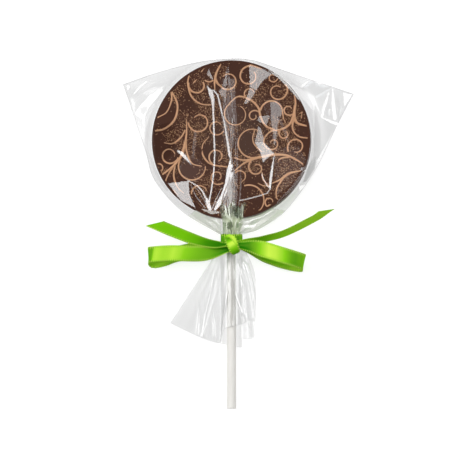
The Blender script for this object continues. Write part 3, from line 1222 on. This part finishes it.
def make_film(material, columns=160, rows=118):
    """The front at double fineness and the back at single, joined all round into one skin."""
    place, u = bag_grid(2 * rows - 1, 2 * columns - 1)
    x, y = place[..., 0], place[..., 1]
    marks = film_marks(x, y, [*FACE_PATCHES, *FACE_CREASES, *OUTER_PATCHES], *front_ground(x, y))
    front = with_neck(np.dstack([place, front_height(x, y, u, marks["relief"])]), 1, fine=True)
    place, u = bag_grid(rows, columns)
    back = with_neck(np.dstack([place, back_height(place[..., 0], place[..., 1], u)]), -1)
    front_size, back_size = front.shape[:2], back.shape[:2]
    count = front_size[0] * front_size[1]
    fine, coarse = grid_rim(*front_size), grid_rim(*back_size, count)
    a, m, b = fine[0::2], fine[1::2], np.roll(fine[0::2], -1)
    c, d = coarse, np.roll(coarse, -1)
    joins = np.concatenate([np.stack([a, c, m], 1), np.stack([m, c, d], 1), np.stack([m, d, b], 1)])
    layers = np.concatenate([grid_faces(*front_size), grid_faces(*back_size, count, True)])
    points = np.concatenate([front.reshape(-1, 3), back.reshape(-1, 3)])
    faces = [*layers.tolist(), *joins.tolist()]
    piece = add_piece("film_over_disc", points, faces, material, ["film_bag"])
    neck_rows = front_size[0] - len(marks["held"])
    mark_film(piece, (neck_rows * front_size[1], marks))


make_film(one_layer_film)

# %% [markdown]
# ## Gathered film
#
# Where the bag is drawn in under the disc, the spare film is crumpled into a bunch that hides the
# stick. Ten or more layers lie on top of each other there, so the bunch looks grey and takes on the
# green of the ribbon. Modelling each layer would cost far more than it shows, so two crumpled
# shells stand for them, in a denser film. Sums of sine waves of unlike lengths make the crumples,
# because a noise texture would make them round and even.

# %% Gathered film
GATHER_TOP_Y, GATHER_FOOT_Y = -29.0, -43.4
GATHER_FILM = 0.05
GATHER_CREASES = [
    ("left", 0.14, 0, 0.3, [(-2.7, -26.0, 0.5), (-2.3, -30.0, 0.7), (-1.8, -33.6, 0.6)]),
    ("left", 0.12, 0, 0.3, [(-0.6, -27.0, 0.4), (-0.7, -31.0, 0.6), (-0.2, -35.4, 0.4)]),
    ("left", 0.14, 0, 0.4, [(0.5, -27.0, 0.6), (1.1, -29.3, 0.5), (2.1, -29.0, 0.4)]),
    ("right", 0.05, 0, 0.4, [(-2.8, -31.8, 0.4), (-1.2, -34.4, 1.2), (0.6, -36.0, 0.8)]),
    (None, 0, 0.4, 0, [(1.0, -29.6), (3.9, -29.2), (4.3, -33.0), (3.3, -35.2), (1.9, -34.2)]),
    (None, 0, 0.3, 0.12, [(-2.7, -37.0), (0.6, -36.6), (1.1, -38.8), (-0.8, -40.0), (-2.2, -39.2)]),
    (None, 0, 0.45, 0.1, [(2.7, -36.6), (3.7, -37.2), (3.2, -39.4), (2.4, -39.0)]),
    (None, 0, 0.3, 0.1, [(3.6, -31.0, 0.3), (3.9, -33.6, 0.8), (4.6, -36.0, 0.4)]),
    (None, 0, 0.3, 0.1, [(0.2, -36.0, 0.4), (-0.4, -38.4, 0.6), (0.4, -41.6, 0.4)]),
    (None, 0, 0.3, 0.1, [(-3.4, -35.6, 0.3), (-3.0, -38.4, 0.6), (-3.4, -41.8, 0.4)]),
    ("left", 0.04, 0, 0.4, [(5.2, -28.0, 0.4), (5.5, -31.0, 0.5), (5.3, -34.6, 0.4)]),
    ("right", 0.15, 0, 0.5, [(4.4, -39.6, 0.4), (3.9, -40.8, 0.8), (2.8, -42.4, 0.6)]),
    ("left", 0.06, 0, 0.5, [(2.9, -35.6, 0.4), (2.0, -38.0, 0.6), (1.7, -39.8, 0.4)]),
    ("left", 0.05, 0, 0.4, [(-1.6, -36.0, 0.3), (-1.9, -39.0, 0.5), (-1.3, -42.0, 0.4)]),
]


def make_gather(material, rows=90, columns=120, layers=2):
    """Crumpled shells, one above the other, between the disc's lower edge and the band."""
    v = np.linspace(0, 1, rows)[:, None]
    u = np.linspace(-1, 1, columns)[None, :]
    points, faces, sheets = [], [], []
    for k in range(layers):
        spread = 5.4 - 0.6 * k
        x = u * (spread + (4.0 - spread) * smoothstep(v, 0, 0.9)) + 1.0 - v + 0.2 * k
        wander = np.sin(10 * v + 2.5 * k + 1.5 * np.sign(u))  # so the sides aren't straight
        x = x + 0.5 * u**3 * (1 - v) * wander
        top = GATHER_TOP_Y - 1.6 * k + 1.6 * np.sin(6 * u + 1.4 + 2 * k) + 0.8 * np.sin(17 * u)
        y = top + (GATHER_FOOT_Y - top) * v
        crumple = np.sin(9.5 * u + 2.1 * k + 1.4 * np.sin(5 * v + k))
        crumple = crumple + 0.6 * np.sin(23 * u - 4 * v + k)
        crumple = 0.2 * crumple + 0.12 * np.sin(11 * v + 3 * u + 1.7 * k)
        crown = np.sqrt(np.clip(1 - (0.95 * u) ** 2, 0, 1))
        high = FACE_Z + 0.45 + 0.25 * k + 0.5 * (1 - u**2)
        low = AXIS_Z + (3.5 + 0.15 * k) * crown
        z = high + (low - high) * smoothstep(-y, 33.5, 41.5) + crumple * (0.3 + 0.7 * crown)
        z = np.where(y > -35.8, np.maximum(z, FACE_Z + 0.1), z)
        sheet = np.dstack(np.broadcast_arrays(x, y, z))
        shell, skin = closed_shell(sheet, sheet - np.array([0, 0, GATHER_FILM]))
        first = k * len(shell)
        faces.append(skin[:, ::-1] + first)
        points.append(shell)
        milk = smoothstep(-sheet[..., 1], 31.5, 37) * (0.48 - 0.34 * u**4)
        sheets.append((first, film_marks(sheet[..., 0], sheet[..., 1], GATHER_CREASES, 0, milk)))
    points, faces = np.concatenate(points), np.concatenate(faces)
    piece = add_piece("film_gather", points, faces, material, ["film_bag"])
    mark_film(piece, *sheets)


GREENISH = dict(tint=(0.95, 0.96, 0.93), milk=(0.76, 0.82, 0.60), deep=(0.10, 0.26, 0.02))
gathered_film = film_material("gathered film", 0.04, 0.04, **GREENISH)
make_gather(gathered_film)

# %% [markdown]
# ## Film skirt
#
# Below the ribbon the film opens again into a fan, the back layer longer than the front one. It
# could be cut from one pleated sheet, but each layer ends in a hem of its own. So each is a thin
# closed shell whose grid runs from the neck to its hem, and the creases that start in the gather
# run out straight.

# %% Hems and creases of the skirt
BACK_HEM = [
    (-27.4, -81.0), (-21.4, -84.0), (-15.7, -86.6), (-9.9, -88.9), (-3.8, -90.2), (1.2, -91.2),
    (4.2, -91.6), (4.6, -88.4), (6.2, -88.1), (9.6, -87.6), (10.3, -83.7), (10.7, -76), (10.7, -70),
]
FRONT_HEM = [
    (-27.0, -80.8), (-21.2, -83.6), (-15.6, -86.2), (-9.9, -88.4), (-5.0, -89.6), (-3.4, -84.4),
    (-2.0, -83.2), (2.0, -82.3), (5.7, -81.0), (7.2, -80.7), (8.0, -86.2), (9.4, -87.0),
    (10.2, -83.0), (10.6, -75), (10.7, -69),
]
BACK_CREASES = [
    ("left", 0.04, 0, 0, [(-5.2, -62.0, 0.4), (-9.0, -74.0, 0.6), (-12.5, -86.0, 0.9)]),
    ("right", 0.04, 0, 0, [(6.0, -66.0, 0.6), (6.4, -76.0, 0.8), (6.8, -88.0, 0.9)]),
    ("right", 0.06, 0, 0, [(4.3, -82.0, 0.5), (4.5, -88.0, 0.7)]),
]
FRONT_CREASES = [
    # greyer film at the right
    (None, 0, 0.05, 0, [
        (3.0, -51.0), (8.0, -55.0), (10.7, -66.0), (10.7, -80.0), (7.0, -80.0), (5.0, -68.0),
    ]),
    # the bright film bunched in front of the stick
    ("left", 0.075, 0, 0.06, [
        (0.2, -46.0, 4.8), (0.4, -54.0, 4.6), (0.5, -64.0, 3.8), (0.4, -74.0, 3.2),
        (0.2, -82.8, 3.0),
    ]),
    # the broad bright folds by the stick
    ("left", 0.12, 0, 0, [
        (-0.4, -54.8, 0.8), (-1.3, -66.8, 1.4), (-2.8, -74.6, 1.6), (-3.9, -82.3, 1.3),
        (-4.6, -89.4, 1.1),
    ]),
    ("left", 0.12, 0, 0, [
        (-0.4, -60.8, 0.6), (2.0, -68.6, 0.9), (4.4, -75.8, 1.3), (6.2, -80.8, 2.0),
    ]),
    ("right", 0.12, 0, 0, [
        (2.8, -50.6, 1.2), (4.4, -60.0, 1.0), (5.6, -68.6, 1.4), (6.9, -80.6, 2.0),
    ]),
    ("right", 0.08, 0, 0, [(-1.6, -71.0, 0.4), (-0.6, -76.0, 0.8), (0.6, -82.2, 1.3)]),
    ("right", 0.1, 0, 0, [(4.6, -54.4, 1.8), (6.4, -56.6, 2.2), (7.4, -58.6, 0.6)]),
    ("right", 0.08, 0, 0, [(8.0, -68.0, 0.5), (7.6, -76.0, 0.7), (7.4, -80.6, 0.9)]),
    # fine folds across the left panel
    ("left", 0.08, 0, 0, [
        (-7.5, -58.0, 0.4), (-9.3, -68.6, 0.6), (-11.7, -78.7, 0.8), (-12.9, -87.0, 1.0),
    ]),
    ("right", 0.06, 0, 0, [(-14.2, -72.5, 0.5), (-14.6, -79.0, 1.0), (-15.1, -86.0, 1.6)]),
    ("right", 0.05, 0, 0, [(-8.3, -76.0, 0.6), (-7.7, -81.0, 1.3), (-7.4, -86.6, 1.1)]),
    ("left", 0.04, 0, 0, [(-6.4, -60.0, 0.3), (-7.2, -70.0, 0.4), (-7.6, -76.0, 0.4)]),
    ("left", 0.05, 0, 0, [(-11.8, -80.6, 0.4), (-10.0, -81.6, 0.8), (-8.2, -81.2, 0.6)]),
]

# %% Film skirt
SHELL = 0.06
NECK_BOTTOM_Y = -45.6
NECK_SPREAD = (-3.9, 4.0)
FAN_BOW = 2.6  # how far the right side bends outwards


def fan_grid(hem, rows, columns):
    """Points over a fan from the neck to a hem, and how far down and across each lies."""
    down, across = np.meshgrid(np.linspace(0, 1, rows), np.linspace(0, 1, columns), indexing="ij")
    foot = spline(hem, columns)
    top = NECK_SPREAD[0] + (NECK_SPREAD[1] - NECK_SPREAD[0]) * across
    x = top + (foot[:, 0] - top) * down + FAN_BOW * np.sin(math.pi * down) * across**3
    y = NECK_BOTTOM_Y + (foot[:, 1] - NECK_BOTTOM_Y) * down
    return x, y, down, across


def fan_depth(x, down, across):
    """Half the bunch's depth: the oval neck above, then thin film that rides over the stick."""
    over_stick = (STICK_RADIUS + 0.35) * np.exp(-((x / 4.4) ** 4))
    opened = np.maximum(0.55 * (1 - np.abs(2 * across - 1) ** 3), over_stick)
    neck = 3.2 * np.sqrt(np.clip(1 - (2 * across - 1) ** 2, 0.01, 1))
    return neck + (opened - neck) * smoothstep(down, 0, 0.3)


def make_skirt_layer(name, hem, creases, side, shade, material, columns=180, rows=130):
    """One layer of the fan; side is 1 for the front and -1 for the back."""
    x, y, down, across = fan_grid(hem, rows, columns)
    start = 0.1 if side > 0 else 0.3
    flutes = 0.07 * smoothstep(down, 0.02, 0.4) * pleat_wave((across * 1.7 + start) % 1)
    marks = film_marks(x, y, creases, shade)
    relief = 2 * marks["relief"] + flutes * (1 - np.abs(2 * across - 1) ** 6)
    z = AXIS_Z + side * (fan_depth(x, down, across) + 0.12) + relief
    sheet = np.dstack([x, y, z])
    points, faces = closed_shell(sheet, sheet - np.array([0, 0, SHELL]))
    piece = add_piece(name, points, faces, material, ["film_bag"])
    mark_film(piece, (0, marks))


make_skirt_layer("film_skirt_back", BACK_HEM, BACK_CREASES, -1, 0.045, thin_shell_film)
make_skirt_layer("film_skirt_front", FRONT_HEM, FRONT_CREASES, 1, 0.01, thin_shell_film)

# %% [markdown]
# ## Green satin
#
# Satin floats its threads along the ribbon, so it shines in bands across every bend, and the rest
# of it looks deep and soft. An anisotropic gloss alone gives thin bands that depend on each lamp,
# so two marks help it: one for where a stretch of ribbon looks light or dark, one for the loops
# along its edges. The threads and ribs follow the ribbon's own UV map, and so bend with it.

# %% Satin material
CLOTH_DARK, CLOTH_LIGHT = (0.10, 0.47, 0.001), (0.30, 0.76, 0.010)
SHEEN_LIGHT, SHEEN_DARK = (0.68, 0.95, 0.09), (0.012, 0.21, 0.001)
PICOT_COLOUR = (0.62, 0.92, 0.10)


def satin_material():
    material, tree = new_material("green satin")
    woven = add_node(tree, "ShaderNodeUVMap")
    woven.uv_map = "weave"
    threads = add_node(tree, "ShaderNodeMapping", Vector=woven.outputs[0], Scale=(5.0, 0.9, 1))
    grain = add_node(tree, "ShaderNodeTexNoise", Vector=threads.outputs[0], Scale=4.0, Detail=3.0)
    sheen = read_mark(tree, "sheen")
    cloth = two_colours(tree, grain.outputs["Fac"], CLOTH_DARK, CLOTH_LIGHT)
    cloth = two_colours(tree, sheen, cloth, SHEEN_LIGHT)
    cloth = two_colours(tree, worked_out(tree, "MULTIPLY", sheen, -1), cloth, SHEEN_DARK)
    cloth = two_colours(tree, read_mark(tree, "picot"), cloth, PICOT_COLOUR)
    ribs = add_node(tree, "ShaderNodeTexWave", Vector=woven.outputs[0], Scale=1.6, Distortion=0.4)
    ribs.bands_direction = "Y"
    normal = bumped(tree, ribs.outputs["Fac"], 0.15, 0.0001)
    tangent = tree.nodes.new("ShaderNodeTangent")
    tangent.direction_type = "UV_MAP"
    tangent.uv_map = "weave"
    matt = add_node(tree, "ShaderNodeBsdfPrincipled", Base_Color=cloth, Roughness=0.6, Normal=normal)
    matt.inputs["Specular IOR Level"].default_value = 0.0
    gloss = add_node(
        tree,
        "ShaderNodeBsdfGlossy",
        Color=(1, 1, 0.15, 1),
        Roughness=0.4,
        Anisotropy=0.6,
        Normal=normal,
        Tangent=tangent.outputs[0],
    )
    mirror, _ = edge_on_factor(tree, 0.05, 0.08)
    skin = add_node(tree, "ShaderNodeMixShader", Fac=mirror, i1=matt.outputs[0], i2=gloss.outputs[0])
    show(tree, skin.outputs[0])
    return material


satin = satin_material()

# %% [markdown]
# ## Runs of ribbon
#
# One length of 7 mm satin ribbon goes round the neck and into a bow, with a cord and a picot, a row
# of tiny loops, along each edge. A curve with a bevel could carry it, but a bevel twists where the
# ribbon turns over, and has no loops. Each run is a grid that follows a path instead, with its
# width's direction given at every point and its edge points moved out to make the loops.

# %% Runs of ribbon
RIBBON_WIDTH = 7
WOVEN_WIDTH = RIBBON_WIDTH - 0.35  # between the loops of both edges
RIBBON_THICKNESS = 0.22
PICOT_PITCH = 1.0
PICOT_REACH = 0.3
EDGE_CORD = 0.07
EDGE_DARKER = 0.65
ACROSS = 15


def unit(v):
    """Each vector made one long."""
    return v / np.maximum(np.linalg.norm(v, axis=-1, keepdims=True), 1e-9)


def ribbon_run(name, path, across, width, crown, sheen, material, slant=None):
    """A run of ribbon along a path: across is its width's direction at each point, crown how far
    its middle arches, and sheen how light (1) or dark (-1) it looks at shares of the way along."""
    slant = np.zeros(len(path)) if slant is None else slant
    along = unit(np.gradient(path, axis=0))
    across = unit(across - along * np.sum(across * along, axis=1, keepdims=True))
    up = np.cross(along, across)
    run = np.concatenate([[0], np.cumsum(np.linalg.norm(np.diff(path, axis=0), axis=1))])
    w = np.linspace(-1, 1, ACROSS)  # from one edge to the other
    loops = PICOT_REACH * (0.5 + 0.5 * np.cos(2 * math.pi * run / PICOT_PITCH)) ** 0.8
    reach = width[:, None] / 2 * w[None, :]
    reach[:, 0] -= loops
    reach[:, -1] += loops
    arch = crown[:, None] * (1 - w[None, :] ** 2)
    cut = slant[:, None] * w[None, :]
    cord = EDGE_CORD * np.exp(-(((np.abs(w) - 0.93) / 0.06) ** 2))[None, :]
    middle = path[:, None] + across[:, None] * reach[..., None] + up[:, None] * arch[..., None]
    middle = middle - along[:, None] * cut[..., None]
    half = (RIBBON_THICKNESS / 2 + cord)[..., None]
    half = half * np.where(np.abs(w) > 0.99, 0.45, 1)[None, :, None]
    points, faces = closed_shell(middle + up[:, None] * half, middle - up[:, None] * half)
    piece = add_piece(name, points, faces, material, ["ribbon_bow"])
    on_edge = np.abs(w)[None, :] > 0.8
    picots = np.where(on_edge, (loops / PICOT_REACH)[:, None], 0) ** 2
    share = run[:, None] / run[-1] + 0.012 * w[None, :]
    bands = np.interp(share, *np.transpose(sheen)) - EDGE_DARKER * on_edge
    for label, value in (("picot", picots), ("sheen", bands)):
        mark = piece.data.attributes.new(label, "FLOAT", "POINT")
        mark.data.foreach_set("value", np.tile(value.ravel(), 2))
    weave = np.dstack(np.broadcast_arrays(w[None, :], run[:, None])).reshape(-1, 2)
    corners = np.empty(len(piece.data.loops), int)
    piece.data.loops.foreach_get("vertex_index", corners)
    layer = piece.data.uv_layers.new(name="weave")
    layer.data.foreach_set("uv", np.tile(weave, (2, 1))[corners].ravel())
    print(f"  {run[-1]:.0f} mm of ribbon")


# %% [markdown]
# ## Loops and tails of the bow
#
# Each loop goes out from the knot, turns over at its end and comes back underneath, and each tail
# lies with its edge up and ends in a slanting cut. Bending a flat strip with modifiers is hard to
# steer, so the paths are splines through a few points, with heights. A list of shares and sheens
# says where the satin looks light or dark along each.

# %% Paths of the loops and tails
# A loop's stations are (x, y, z), and a tail's are (x, y, z, lean of its width in degrees).
LOOP_LEFT = [
    (0.4, -48.2, 11.0), (-8, -50.4, 11.6), (-16, -50.7, 12.1), (-26, -50.4, 11.9),
    (-34.2, -50.8, 10.6), (-36.5, -51.3, 7.8), (-34.9, -53.1, 4.6), (-30.5, -52.4, 3.8),
    (-25, -50.5, 3.6), (-12, -47.8, 5.4), (-3.5, -47, 8.2),
]
LOOP_RIGHT = [
    (2, -47, 11.0), (9.6, -47.7, 11.6), (15.8, -49.3, 12.2), (23, -51.5, 12.1), (30.0, -53.7, 10.8),
    (32.2, -54.6, 8.0), (30.2, -55.2, 5), (22, -53.4, 3.8), (12, -49.8, 5.2), (4.5, -47.4, 8),
]
TAIL_LEFT = [
    (0, -47, 10.4, -66), (-7.7, -46.4, 9.8, -56), (-14.7, -44.7, 9.6, -44), (-23, -41.6, 10, -41),
    (-33.4, -37.2, 10.6, -43),
]
TAIL_RIGHT = [
    (1.5, -46.0, 10.2, 66), (10.5, -45.0, 9.4, 71), (15.7, -44.0, 9, 70), (24.3, -41.6, 8.8, 70),
    (36.2, -35.8, 9.4, 69), (42.3, -31.9, 9.8, 69),
]
# Where the satin looks light or dark: (share of the way along, sheen).
SHEEN_LOOP_LEFT = [
    (0, -1), (0.04, -1), (0.08, -0.8), (0.12, -0.65), (0.17, -0.55), (0.22, -0.35), (0.27, -0.05),
    (0.30, 0.25), (0.34, 0.5), (0.37, 0.3), (0.40, 0.25), (0.44, 0.45), (0.458, 0.3), (0.47, -0.6),
    (0.50, -0.5), (0.54, 0.2), (0.6, 0.45), (0.7, 0.1), (1, -0.3),
]
SHEEN_LOOP_RIGHT = [
    (0, -1), (0.06, -1), (0.10, -0.95), (0.15, -0.45), (0.19, 0.15), (0.24, 0.8), (0.29, 0.65),
    (0.35, 0.05), (0.40, -0.6), (0.43, -0.75), (0.47, -0.45), (0.5, -0.1), (0.56, 0.35),
    (0.66, -0.1), (0.8, -0.3), (1, -0.6),
]
SHEEN_TAIL_LEFT = [(0, -1), (0.14, -1), (0.3, -0.85), (0.42, -0.45), (0.6, -0.12), (1, -0.05)]
SHEEN_TAIL_RIGHT = [
    (0, 0.2), (0.1, 0.3), (0.2, 0.1), (0.25, -0.35), (0.35, -0.2), (0.5, 0.05), (1, 0.2),
]

# %% Loops and tails of the bow
TAIL_CUT = 3.0  # how far the slanting end is cut back, on each side of its middle


def make_loop(name, stations, sheen, material):
    """A loop of the bow, pinched and arched at both ends, where it enters the knot."""
    path = spline(stations, 430)
    level = np.array(stations[3], float) - np.array(stations[0], float)
    side = np.array([-level[1], level[0], 0]) * (1 if level[0] > 0 else -1)
    across = np.broadcast_to(side, path.shape)
    t = np.linspace(0, 1, len(path))
    near = np.minimum(t, 1 - t)
    width = WOVEN_WIDTH * (0.42 + 0.58 * smoothstep(near, 0, 0.2))
    crown = 0.9 * (1 - smoothstep(near, 0.0, 0.16)) + 0.12 * np.sin(t * 19)
    ribbon_run(name, path, across, width, crown, sheen, material)


def make_tail(name, stations, sheen, material):
    """A tail of the bow, pinched at the knot and cut at a slant."""
    table = np.array(stations, float)
    outwards = np.sign(table[-1, 0] - table[0, 0])
    path = spline(table[:, :3], 260)
    along = unit(np.gradient(path, axis=0)) * outwards
    share = np.linspace(0, 1, len(path))
    lean = np.radians(np.interp(share, np.linspace(0, 1, len(table)), table[:, 3]))[:, None]
    flat = unit(np.stack([-along[:, 1], along[:, 0], np.zeros(len(path))], axis=1))
    across = flat * np.cos(lean) + np.cross(along, flat) * np.sin(lean)
    width = WOVEN_WIDTH * (0.5 + 0.5 * smoothstep(share, 0, 0.2))
    crown = 0.5 * (1 - smoothstep(share, 0, 0.25))
    slant = smoothstep(share, 0.5, 1) * TAIL_CUT
    ribbon_run(name, path, across, width, crown, sheen, material, slant)


make_loop("bow_loop_left", LOOP_LEFT, SHEEN_LOOP_LEFT, satin)
make_loop("bow_loop_right", LOOP_RIGHT, SHEEN_LOOP_RIGHT, satin)
make_tail("bow_tail_left", TAIL_LEFT, SHEEN_TAIL_LEFT, satin)
make_tail("bow_tail_right", TAIL_RIGHT, SHEEN_TAIL_RIGHT, satin)

# %% [markdown]
# ## Band and knot
#
# The ribbon goes round the neck, bunched a little so that it wrinkles, and a fold of it goes over
# the middle of the bow. A torus would do for the band, but it would have no edges and no weave.
# They are runs of the same ribbon, so they have the same finish: a full turn round the neck, a
# loop that is open underneath, and a narrow strip for the edge that is turned over at the knot's
# upper right.

# %% Band and knot
BAND_Y = -45.1
BAND_WIDTH = 5.9  # bunched, so narrower than the ribbon
BAND_HALF_WIDTH, BAND_HALF_HEIGHT = 4.72, 4.02
KNOT_MIDDLE = (1.1, -46.7, 10.4)
KNOT_HALF_LENGTH, KNOT_HALF_HEIGHT = 4.2, 2.3
KNOT_LEAN = math.radians(24)
WRAP = [
    (-2.3, -44.2, 11.2), (-1.3, -43.3, 12.3), (0.2, -43.2, 12.9), (1.7, -44.1, 13.2),
    (2.6, -45.6, 13.2), (3.0, -47.2, 12.8), (2.6, -48.6, 11.8),
]
SHEEN_BAND = [
    (0, -0.8), (0.08, -0.5), (0.13, -0.85), (0.19, -0.35), (0.26, -0.1), (0.33, -0.5),
    (0.38, -0.8), (0.5, -0.8), (1, -0.7),
]
SHEEN_KNOT = [
    (0, -0.8), (0.5, -0.6), (0.56, 0.0), (0.6, 0.85), (0.66, 0.8), (0.71, 0.2), (0.78, -0.2),
    (0.86, -0.6), (1, -0.8),
]
SHEEN_WRAP = [(0, -0.4), (0.25, 0.3), (0.45, 0.8), (0.7, 0.6), (0.85, 0), (1, -0.5)]


def make_band(material):
    """The turn of ribbon round the neck."""
    turn = np.linspace(0, 2 * math.pi, 220)
    x, z = BAND_HALF_WIDTH * np.cos(turn), AXIS_Z + BAND_HALF_HEIGHT * np.sin(turn)
    path = np.stack([x, BAND_Y + 0.12 * np.sin(3 * turn), z], 1)
    across = np.broadcast_to(np.array([0.0, 1.0, 0.0]), path.shape)
    crown = 0.08 * np.sin(5 * turn)
    width = np.full(len(path), BAND_WIDTH)
    ribbon_run("bow_band", path, across, width, crown, SHEEN_BAND, material)


def make_knot(material):
    """The ribbon's fold over the middle: it comes up behind, over the top and down to the right."""
    turn = np.linspace(math.radians(-200), math.radians(120), 150)
    y, z = -KNOT_HALF_LENGTH * np.sin(turn), KNOT_HALF_HEIGHT * np.cos(turn)
    slant, upright = math.sin(KNOT_LEAN), math.cos(KNOT_LEAN)
    middle_x, middle_y, middle_z = KNOT_MIDDLE
    path = np.stack([middle_x - y * slant, middle_y + y * upright, middle_z + z], 1)
    across = np.broadcast_to(np.array([upright, slant, 0.0]), path.shape)
    width = 4.4 - 2.2 * smoothstep(np.abs(turn), 0.5, 2.0)
    crown = 0.3 + 0.25 * np.cos(2 * turn)
    ribbon_run("bow_knot", path, across, width, crown, SHEEN_KNOT, material)


def make_wrap(material):
    """The narrow turned-over edge that runs round the knot's upper right."""
    path = spline(WRAP, 90)
    along = unit(np.gradient(path, axis=0))
    across = unit(np.stack([-along[:, 1], along[:, 0], np.zeros(len(path))], axis=1))
    t = np.linspace(0, 1, len(path))
    width = 1.5 * np.sin(math.pi * (0.12 + 0.76 * t)) ** 0.7
    ribbon_run("bow_wrap", path, across, width, np.full(len(path), 0.18), SHEEN_WRAP, material)


make_band(satin)
make_knot(satin)
make_wrap(satin)
